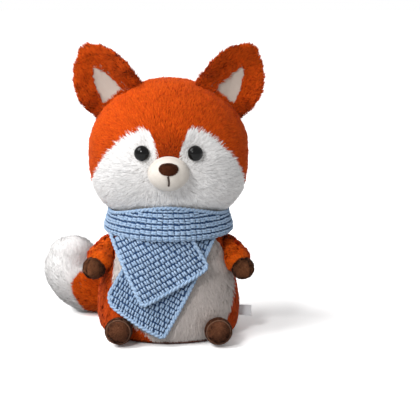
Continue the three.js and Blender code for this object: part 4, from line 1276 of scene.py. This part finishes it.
scarf = {
    "thickness": 4.4, "endGap": 0.8, "foldRise": 3.2, "foldPitch": 44, "bend": 0.8, "gather": 4,
    "fallHeight": 30, "bottom": 89.5, "tuck": 2.6,
    # the thin dark ground at the middle of the knit, painted shade seen between the stitches: its size in
    # steps, and how far it stays inside the stitches
    "groundThickness": 0.9, "groundRows": 60, "groundColumns": 40, "groundHem": 1.2, "groundSide": 1,
    "groundTop": 0.4, "groundSink": 0.2, "groundLeast": 0.9,
}
band = {
    "radius": 45.8, "halfThickness": 7.5, "height": 31.5, "slant": 5.5, "flatten": 51.5 / 53.3, "power": 0.7,
    "profile": (112, -100), "around": 176, "down": 40, "middleOut": 4, "groundSink": 0.1,
    # how it starts below the turning head, and how far down from there its rows and its twisted edge begin
    "headTurn": 15, "headGap": 1.4, "rowsBelow": 1.2, "edgeBelow": 0.4, "steps": 160, "evened": 11,
    # the inner side: how far each ring is from the lower edge to the body, and its height above that edge
    "innerGap": 2.2, "innerFrom": 1.5, "innerSink": 0.4,
    "innerSteps": ((0.5, 4), (0.85, 5.5), (1, 7), (1, 9), (1, 11), (1, 12.8)),
}
frontEnd = {"topX": -14.8, "width": 66, "length": 44.3, "angle": 29, "corners": (4.5, 6), "layer": 1}
backEnd = {"topX": 8.6, "width": 60.2, "length": 78.8, "angle": -29.3, "corners": (13, 5.5), "layer": 0}
stitch = {
    "width": 4.9, "step": 4.45, "halfRise": 1.35, "depth": 1.0, "upright": 0.8, "pairing": 0.24, "yarn": 0.88,
    "points": 12, "sides": 6, "plyTurn": 1.7, "plyDepth": 0.12, "uneven": 0.25, "stagger": math.pi,
    "fitted": True, "hem": 3.6, "seed": 131,
}
# round the band the same stitches lie on their sides, in level lines
bandStitch = {**stitch, "halfRise": 1.75, "pairing": 0.42, "uneven": 0.3, "stagger": 0, "fitted": False}
edging = {"yarn": 1.12, "offset": 0.72, "inset": 1.6, "turn": 7.5, "spacing": 1.0, "sides": 8, "above": 0.35}

knitLook = newLook("blue_knit", Roughness=0.9, Sheen_Weight=0.2, Sheen_Roughness=0.5, Specular_IOR_Level=0.2)
# a dark sheet inside the knit: painted shade that shows in the gaps between the stitches
knitShadeGround = groundLook("knit_shade_ground", "#2c4870")
knitInner = groundLook("knit_inner", "#7191b6")


def finishKnit():
    # soft two-ply yarn: paler on the crests as painted light, deep blue where it dives under as painted
    # shade, with pale fibre flecks, partly painted highlight, only on the crests
    crest, fibres = knitLook.carried("crest"), knitLook.noise(950, 3.0, 0.7)
    patches = knitLook.noise(45, 2.0)
    colour = knitLook.mix((crest * 1.3 - 0.15).clipped(), paint("#1f3450"), paint("#7d9cbe"))
    colour = knitLook.mix((fibres * 2.6 - 1.0).clipped() * crest, colour, paint("#c8d8ea"))
    colour = knitLook.scaled(colour, (patches - 0.5) * 0.25 + 1)
    knitLook.set(Base_Color=colour, Normal=knitLook.bump(fibres, 0.25))


finishKnit()


def yarnRun(line, outward, crest, s):
    # one length of two-ply yarn along a line, with its outward ways and how near the top it lies
    along = unit(np.gradient(line, axis=0))
    side = unit(np.cross(along, outward))
    top = np.cross(side, along)
    angle = turns(s["sides"])[None]
    radius = s["yarn"] * (1 + s["plyDepth"] * np.cos(2 * angle + s["plyTurn"] * travelled(line)[:, None]))
    ring = side[:, None] * np.cos(angle)[..., None] + top[:, None] * np.sin(angle)[..., None]
    points = line[:, None] + radius[..., None] * ring
    # each yarn's outward side gets a higher crest value, so it is painted lighter: painted light
    height = np.repeat(crest, s["sides"]) + np.tile(np.sin(angle[0]) * 0.18, len(line))
    return points.reshape(-1, 3), gridQuads(len(line), s["sides"]), height


def yarnPiece(name, runs, body):
    points, faces, crests, start = [], [], [], 0
    for part, quads, height in runs:
        points.append(part)
        faces.append(quads + start)
        crests.append(height)
        start += len(part)
    piece = meshPiece(name, np.vstack(points), np.vstack(faces), knitLook, body)
    setCarried(piece.data, "crest", np.clip(np.concatenate(crests), 0, 1))
    return declare(piece)


def groundPiece(name, form, look, body):
    return declare(clothPiece(name, form, 0, scarf["groundThickness"], look, body))


def knitRuns(mapTo, stretches, s):
    # each row is a coil of yarn whose turns stand upright in pairs, with its two ends at the back
    # mapTo places (across, along, lift); each stretch is (from, to, along) in millimetres
    rng = np.random.default_rng(s["seed"])
    runs, shift = [], 0
    for low, high, along in stretches:
        count = round((high - low) / s["width"] * 2 - 0.5 * (not s["fitted"]))
        if count < 2:
            continue
        pitch = (high - low) / count if s["fitted"] else s["width"] / 2
        low = high - count * pitch
        turn = (np.arange(count * s["points"] + 1) / s["points"] - 0.25) * 2 * math.pi
        share = turn / (2 * math.pi)
        slip = np.interp(share, np.arange(-1, count + 1), rng.normal(0, s["uneven"], count + 2))
        across = low + pitch * (share + 0.25) + pitch * s["upright"] * np.cos(turn) / (2 * math.pi)
        across += s["pairing"] * np.cos(turn / 2 - math.pi / 4 + shift + count * math.pi) + slip
        shift += s["stagger"]
        forward = along - s["halfRise"] * np.cos(turn) + slip[::-1]
        lift = s["depth"] * np.sin(turn)
        line = mapTo(across, forward, lift)
        outward = unit(mapTo(across, forward, lift + 1) - line)
        # the crest is high where the coil stands out and low where it dives under: it paints light and shade
        # on the yarn
        runs.append(yarnRun(line, outward, 0.5 + 0.5 * np.sin(turn), s))
    return runs


def drapeRise(x, height):
    fall = np.clip((scarf["bottom"] - height) / scarf["bottom"], 0, 1)
    return scarf["foldRise"] * fall * (1 - np.cos(2 * math.pi * x / scarf["foldPitch"])) / 2


def endPoint(end, across, down, lift):
    angle = math.radians(end["angle"])
    x = end["topX"] + math.sin(angle) * down + math.cos(angle) * across
    z = scarf["bottom"] - math.cos(angle) * down + math.sin(angle) * across
    width, depth = torsoAt(np.maximum(z, scarf["fallHeight"]))
    rest = -depth * swell(scarf["bend"] * x / width)
    out = scarf["endGap"] + end["layer"] * (scarf["thickness"] + scarf["endGap"]) + drapeRise(x, z)
    return np.stack([x, rest - out - scarf["thickness"] / 2 - lift, z], axis=-1)


def endEdges(end, down):
    # where the two sides of an end lie at a place down its length
    total = end["length"] + end["width"] / 2
    share = np.clip((end["length"] - down) / total, 0, 1)
    sides = []
    for radius in end["corners"]:
        rounded = np.clip(radius - (end["length"] - down), 0, radius) / radius
        sides.append(end["width"] / 2 - scarf["gather"] * share ** 2 - radius * (1 - swell(rounded)))
    return -sides[0], sides[1]


def underBand(end, across, down):
    # how far a place on the end is below the band's lower edge
    angle = math.radians(end["angle"])
    return math.cos(angle) * down - math.sin(angle) * across


def endOutline(end, inset):
    # down one side, along the hem and up the other
    turnsIn = end["length"] * 0.8
    down = np.append(np.linspace(-end["width"] / 2, turnsIn, 14), np.linspace(turnsIn, end["length"], 40)[1:])
    low, high = endEdges(end, down)
    corners = np.vstack([np.stack([low, down], axis=1), np.stack([high, down], axis=1)[::-1]])
    way = unit(np.gradient(corners, axis=0))
    return corners + inset * np.stack([way[:, 1], -way[:, 0]], axis=1)


def endGround(end):
    # a thin dark sheet at the middle of the knit's thickness, painted shade between the stitches, its top cut
    # along the band
    side = scarf["groundSide"]
    rows = np.linspace(-end["width"] / 2, end["length"] - scarf["groundHem"], scarf["groundRows"])[:, None]
    low, high = endEdges(end, rows)
    across = low + side + (high - low - 2 * side) * np.linspace(0, 1, scarf["groundColumns"])[None]
    rows = np.maximum(rows, math.tan(math.radians(end["angle"])) * across + scarf["groundTop"])
    form = sheetForm(endPoint(end, across, rows, 0 * rows - scarf["groundSink"]), downwards, wraps=False)
    if np.mean(form["normals"][:, 1]) > 0:
        form = turnedOver(form)
    corners = form["points"][form["quads"]]
    wide = np.linalg.norm(corners[:, 0] - corners[:, 2], axis=1) > scarf["groundLeast"]
    return {**form, "quads": form["quads"][wide]}


def buildEnd(name, end):
    lead, tuck = end["width"] / 2, scarf["tuck"]
    form = endGround(end)
    ground = groundPiece(f"{name}_ground", form, knitShadeGround, name)

    stretches = []
    for along in np.arange(end["length"] - stitch["hem"], -lead, -stitch["step"]):
        low, high = endEdges(end, along)
        spread = np.linspace(low + edging["inset"], high - edging["inset"], 240)
        spread = spread[underBand(end, spread, along) > -tuck]
        if len(spread):
            stretches.append((spread[0], spread[-1], along))
    place = lambda across, along, lift: endPoint(end, across, along, lift)
    stitches = yarnPiece(f"{name}_stitches", knitRuns(place, stretches, stitch), name)

    outline = endOutline(end, edging["inset"])
    line = curved(outline, int(lengthOf(outline) / edging["spacing"]))
    across, down = line[underBand(end, line[:, 0], line[:, 1]) > -tuck].T
    centre = endPoint(end, across, down, edging["above"])
    outward = endPoint(end, across, down, edging["above"] + 1) - centre
    edge = yarnPiece(f"{name}_edge", twistRuns(centre, outward), name)

    area = float(np.sum(faceAreas(form))) * mm ** 2
    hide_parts(name)
    return ground


def twistRuns(line, outward):
    # two strands of yarn twisted together along a line
    along = unit(np.gradient(line, axis=0))
    side = unit(np.cross(along, unit(outward)))
    top = np.cross(side, along)
    runs = []
    for start in (0, math.pi):
        angle = start + 2 * math.pi * travelled(line)[:, None] / edging["turn"]
        strand = line + edging["offset"] * (side * np.cos(angle) + top * np.sin(angle))
        # each strand is painted lighter where it turns outwards and darker where it turns under: painted
        # light and shade
        crest = 0.62 + 0.3 * np.sin(angle[:, 0])
        runs.append(yarnRun(strand, top, crest, {**stitch, **edging}))
    return runs


def headSweep(angle, height):
    # how far out the head reaches as it turns to each side
    share = (height - head["centre"]) / head["drop"]
    width = np.maximum(head["halfWidth"] * swell(share, head["cheekPower"]), 1e-6)
    depth = np.maximum(head["halfDepth"] * swell(share, head["chinPower"]), 1e-6)
    turned = np.maximum(np.arcsin(np.abs(np.sin(angle))) - math.radians(band["headTurn"]), 0)
    return 1 / np.hypot(np.cos(turned) / width, np.sin(turned) / depth)


def bandProfile():
    # from inside the top, over the outside and in below, as (radius, height)
    turn = np.radians(np.linspace(*band["profile"], 60))
    out = np.sign(np.cos(turn)) * np.abs(np.cos(turn)) ** band["power"]
    rise = np.sign(np.sin(turn)) * np.abs(np.sin(turn)) ** band["power"]
    radius = band["radius"] + band["halfThickness"] * out - band["slant"] * rise
    height = scarf["bottom"] + band["height"] / 2 * (1 + rise)
    return curved(np.stack([radius, height], axis=1)[::3], 200)


def buildBand():
    profile = bandProfile()
    length = lengthOf(profile)
    marks = np.linspace(0, length, len(profile))
    slope = unit(np.gradient(profile, axis=0))
    ways = np.stack([slope[:, 1] * -1, slope[:, 0]], axis=1)
    if ways[100, 0] < 0:
        ways = -ways
    middle = band["radius"] + band["middleOut"]
    whole = 2 * math.pi * middle
    sink = stitch["depth"] + stitch["yarn"]

    def place(down, around, lift):
        pick = lambda values: np.interp(down, marks, values)
        radius = pick(profile[:, 0]) + pick(ways[:, 0]) * (lift - sink)
        height = pick(profile[:, 1]) + pick(ways[:, 1]) * (lift - sink)
        angle = around / middle
        return np.stack([radius * np.cos(angle), radius * np.sin(angle) * band["flatten"], height], axis=-1)

    def firstBelowHead(around):
        down = np.linspace(0, length, band["steps"])
        points = place(down, around + 0 * down, sink + 0 * down)
        angle = np.arctan2(points[:, 1], points[:, 0])
        gap = band["headGap"] + band["rowsBelow"]
        free = np.hypot(points[:, 0], points[:, 1]) > headSweep(angle, points[:, 2]) + gap
        return down[np.argmax(free & (np.arange(len(down)) > 4))]

    around = np.linspace(0, whole, band["around"], endpoint=False)
    starts = np.array([firstBelowHead(a) for a in around])
    evening = np.ones(band["evened"]) / band["evened"]
    starts = np.convolve(np.tile(starts, 3), evening, mode="same")[len(around):-len(around)]
    shares = np.linspace(0, 1, band["down"])[:, None]
    down = starts[None] + (length - 1 - starts[None]) * shares
    form = sheetForm(place(down, around[None] + 0 * down, 0 * down - band["groundSink"]), downwards)
    if np.mean(np.sum(form["normals"][:, :2] * form["points"][:, :2], axis=1)) < 0:
        form = turnedOver(form)
    ground = groundPiece("scarf_band_shade_ground", form, knitShadeGround, "torso")

    rows = round(whole / stitch["step"])
    places = np.arange(rows) * whole / rows
    lows = np.interp(places, around, starts, period=whole) + band["rowsBelow"]
    for part, side in (("front", -1), ("rear", 1)):
        onSide = (np.sin(places / middle) >= 0) == (side > 0)
        stretches = [(low, length, at) for low, at in zip(lows[onSide], places[onSide])]
        runs = knitRuns(place, stretches, {**bandStitch, "seed": stitch["seed"] + side})
        yarnPiece(f"scarf_band_stitches_{part}", runs, "torso")

    # the inner side: from inside the lower edge to the body, then up the neck
    under = 0 * around - band["innerSink"] - scarf["groundThickness"]
    hem = place(length - band["innerFrom"] + 0 * around, around, under)
    rings = [hem]
    for share, rise in band["innerSteps"]:
        height = scarf["bottom"] + rise
        width, depth = (size + band["innerGap"] for size in torsoAt(np.array([height])))
        rings.append(hem + (ovalRings(width, depth, height, around / middle) - hem) * share)
    groundPiece("scarf_band_inner", sheetForm(np.stack(rings), downwards), knitInner, "torso")

    # a twisted edge along the top, under the chin
    down, across = np.append(starts, starts[0]) + band["edgeBelow"], np.append(around, whole)
    line = place(down, across, edging["above"])
    both = np.hstack([line, place(down, across, edging["above"] + 1) - line])
    both = curved(both, int(lengthOf(line) / edging["spacing"]))
    yarnPiece("scarf_band_edge", twistRuns(both[:, :3], both[:, 3:]), "torso")

    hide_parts("scarf_collar")


buildBand()
backGround = buildEnd("scarf_end_back", backEnd)
buildEnd("scarf_end_front", frontEnd)
print("scarf knitted")


# Inside: the filling of the head and the body, the pouch of pellets and the eyes' washers

filling = {
    "inset": 3.7, "socket": 1.2, "lumps": 9, "lumpDepth": 0.5, "clear": 0.6,
    "earRoom": 6, "earReach": 24, "earSteps": 13,
    # rings of the hollow over the pouch, by their share of the seat's size and of the hollow's height
    "hollow": ((0.02, 1), (0.4, 1), (1, 1), (1.02, 0.6), (1.06, 0.1), (1.2, 0), (1.35, 0)),
    "hollowSize": 0.68, "hollowTop": 22.4,
}
pouch = {
    "halfWidth": 35.5, "halfDepth": 28.5, "bottom": 3.5, "thickness": 17.5, "power": 2.6, "levels": 40,
    "sides": 96, "seamReach": 0.12, "seamDepth": 0.03, "beads": 3.4, "beadDepth": 0.35,
}
fluff = newLook("polyester_filling", Roughness=0.95, Sheen_Weight=0.2, Sheen_Roughness=0.5,
                Specular_IOR_Level=0.2)
calico = newLook("calico", Roughness=0.9, Specular_IOR_Level=0.2)


def finishInnerLooks():
    wisps = fluff.noise(220, 6.0, 0.7)
    fluff.set(Base_Color=fluff.mix(wisps, paint("#dcdad2"), paint("#fbfbf6")), Normal=fluff.bump(wisps, 0.8))
    weave = calico.waves("X", 900) * calico.waves("Y", 900)
    calico.set(Base_Color=calico.mix(calico.noise(300, 3.0), paint("#cbbf9f"), paint("#e4dcc4")))
    calico.set(Normal=calico.bump(weave, 0.15))


def lumpy(form):
    # drawn in from a skin's form, uneven, and pressed in round each rounded root and along the ears
    points, normals = form["points"], form["normals"]
    lumps = softNoise(points, filling["lumps"], 141)[:, :1]
    points = points - normals * (filling["inset"] + filling["lumpDepth"] * lumps)
    places = list(roots)
    for side in (-1, 1):
        axes, middle = earAxes(side)
        for along in np.linspace(-filling["earReach"], filling["earReach"], filling["earSteps"]):
            places.append((middle + axes[0] * along, filling["earRoom"]))
    for place, radius in places:
        away = np.linalg.norm(points - place, axis=1, keepdims=True)
        points = points - normals * np.maximum(radius + filling["socket"] - away, 0)
    return points


def buildFilling():
    sides, form = head["sides"], headForm()
    kept = form["points"][::sides, 2] > head["neck"] + 1
    grid = lumpy(form).reshape(-1, sides, 3)[kept]
    grid[..., 2] = np.maximum(grid[..., 2], head["neck"] + filling["clear"])
    piece = closedPiece("head_filling", sheetForm(grid, downwards), sides, fluff, "head")
    declare(piece, "head_stuffing")

    # the body's filling is hollowed below, over the pouch
    sides = torso["sides"]
    outer = lumpy(torsoForm()).reshape(-1, sides, 3)
    low, high = torso["seat"] + filling["clear"], torso["top"] - filling["clear"]
    outer[..., 2] = np.clip(outer[..., 2], low, high)
    sizes, rises = np.array(filling["hollow"]).T
    hollow = outer[:1] * [1, 1, 0] * (sizes[:, None, None] * filling["hollowSize"])
    hollow[..., 2] = rises[:, None] * (filling["hollowTop"] - low) + low
    form = sheetForm(np.vstack([hollow, outer]), downwards)
    declare(closedPiece("body_filling", form, sides, fluff, "torso"), "torso_stuffing")


def buildPouch():
    # a small flat bag, drawn in at its seam and knobbly with its pellets
    share = poleToPole(pouch["levels"], 0.03)
    out = swell(share, pouch["power"]) * (1 - pouch["seamDepth"] * np.exp(-(share / pouch["seamReach"]) ** 2))
    height = pouch["bottom"] + pouch["thickness"] / 2 * (1 + share)
    grid = ovalRings(pouch["halfWidth"] * out, pouch["halfDepth"] * out, height, turns(pouch["sides"]))
    form = sheetForm(grid, downwards)
    beads = np.abs(softNoise(form["points"], pouch["beads"], 151)[:, :1])
    form = pressed(form, beads * pouch["beadDepth"])
    declare(closedPiece("pellet_bag", form, pouch["sides"], calico, "torso"), "pellet_pouch")


finishInnerLooks()
buildFilling()
buildPouch()
for label, side in bothSides:
    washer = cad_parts[f"eye_washer_{label}"]
    washer.data.materials.clear()
    washer.data.materials.append(washerPlastic.owner)
print("inside made")


# Blank label in the side seam

seamLabel = {
    "height": 19, "width": 9, "reach": 11, "layer": 0.4, "gap": 0.35, "forward": 2, "seat": 1.5, "sag": 0.5,
    "twist": 0.02, "columns": 60, "rows": 16,
}
ribbon = newLook("ribbon", Roughness=0.6, Specular_IOR_Level=0.3)


def buildLabel():
    # a short ribbon folded in half, sewn into the seam by its two ends
    s = seamLabel
    weave = ribbon.waves("Z", 1300) * ribbon.waves("X", 1300)
    ribbon.set(Base_Color=ribbon.mix(weave, paint("#dfdfe2"), paint("#f4f4f5")))
    ribbon.set(Normal=ribbon.bump(weave, 0.08))
    start = float(torsoAt(np.array(s["height"]))[0]) - s["seat"]
    half = (s["layer"] + s["gap"]) / 2
    turnsAt = start + s["reach"] + s["seat"] - s["layer"]
    fold = np.linspace(-math.pi / 2, math.pi / 2, 9)
    path = [(x, -half) for x in np.linspace(start, turnsAt, 12)]
    path += [(turnsAt + half * math.cos(a), half * math.sin(a)) for a in fold]
    path += [(x, half) for x in np.linspace(turnsAt, start, 12)]
    x, y = curved(path, s["columns"]).T
    rows = np.linspace(-s["width"] / 2, s["width"] / 2, s["rows"])[:, None]
    sag = s["sag"] * ((x - start) / s["reach"]) ** 2
    leaning = y - s["forward"] + s["twist"] * rows * (x - start)
    grid = np.stack([x + 0 * rows, leaning, s["height"] + rows - sag], axis=-1)
    form = sheetForm(grid, downwards, wraps=False)
    declare(clothPiece("label_ribbon", form, 0, s["layer"], ribbon, "torso"), "side_label")


buildLabel()
print("label made")
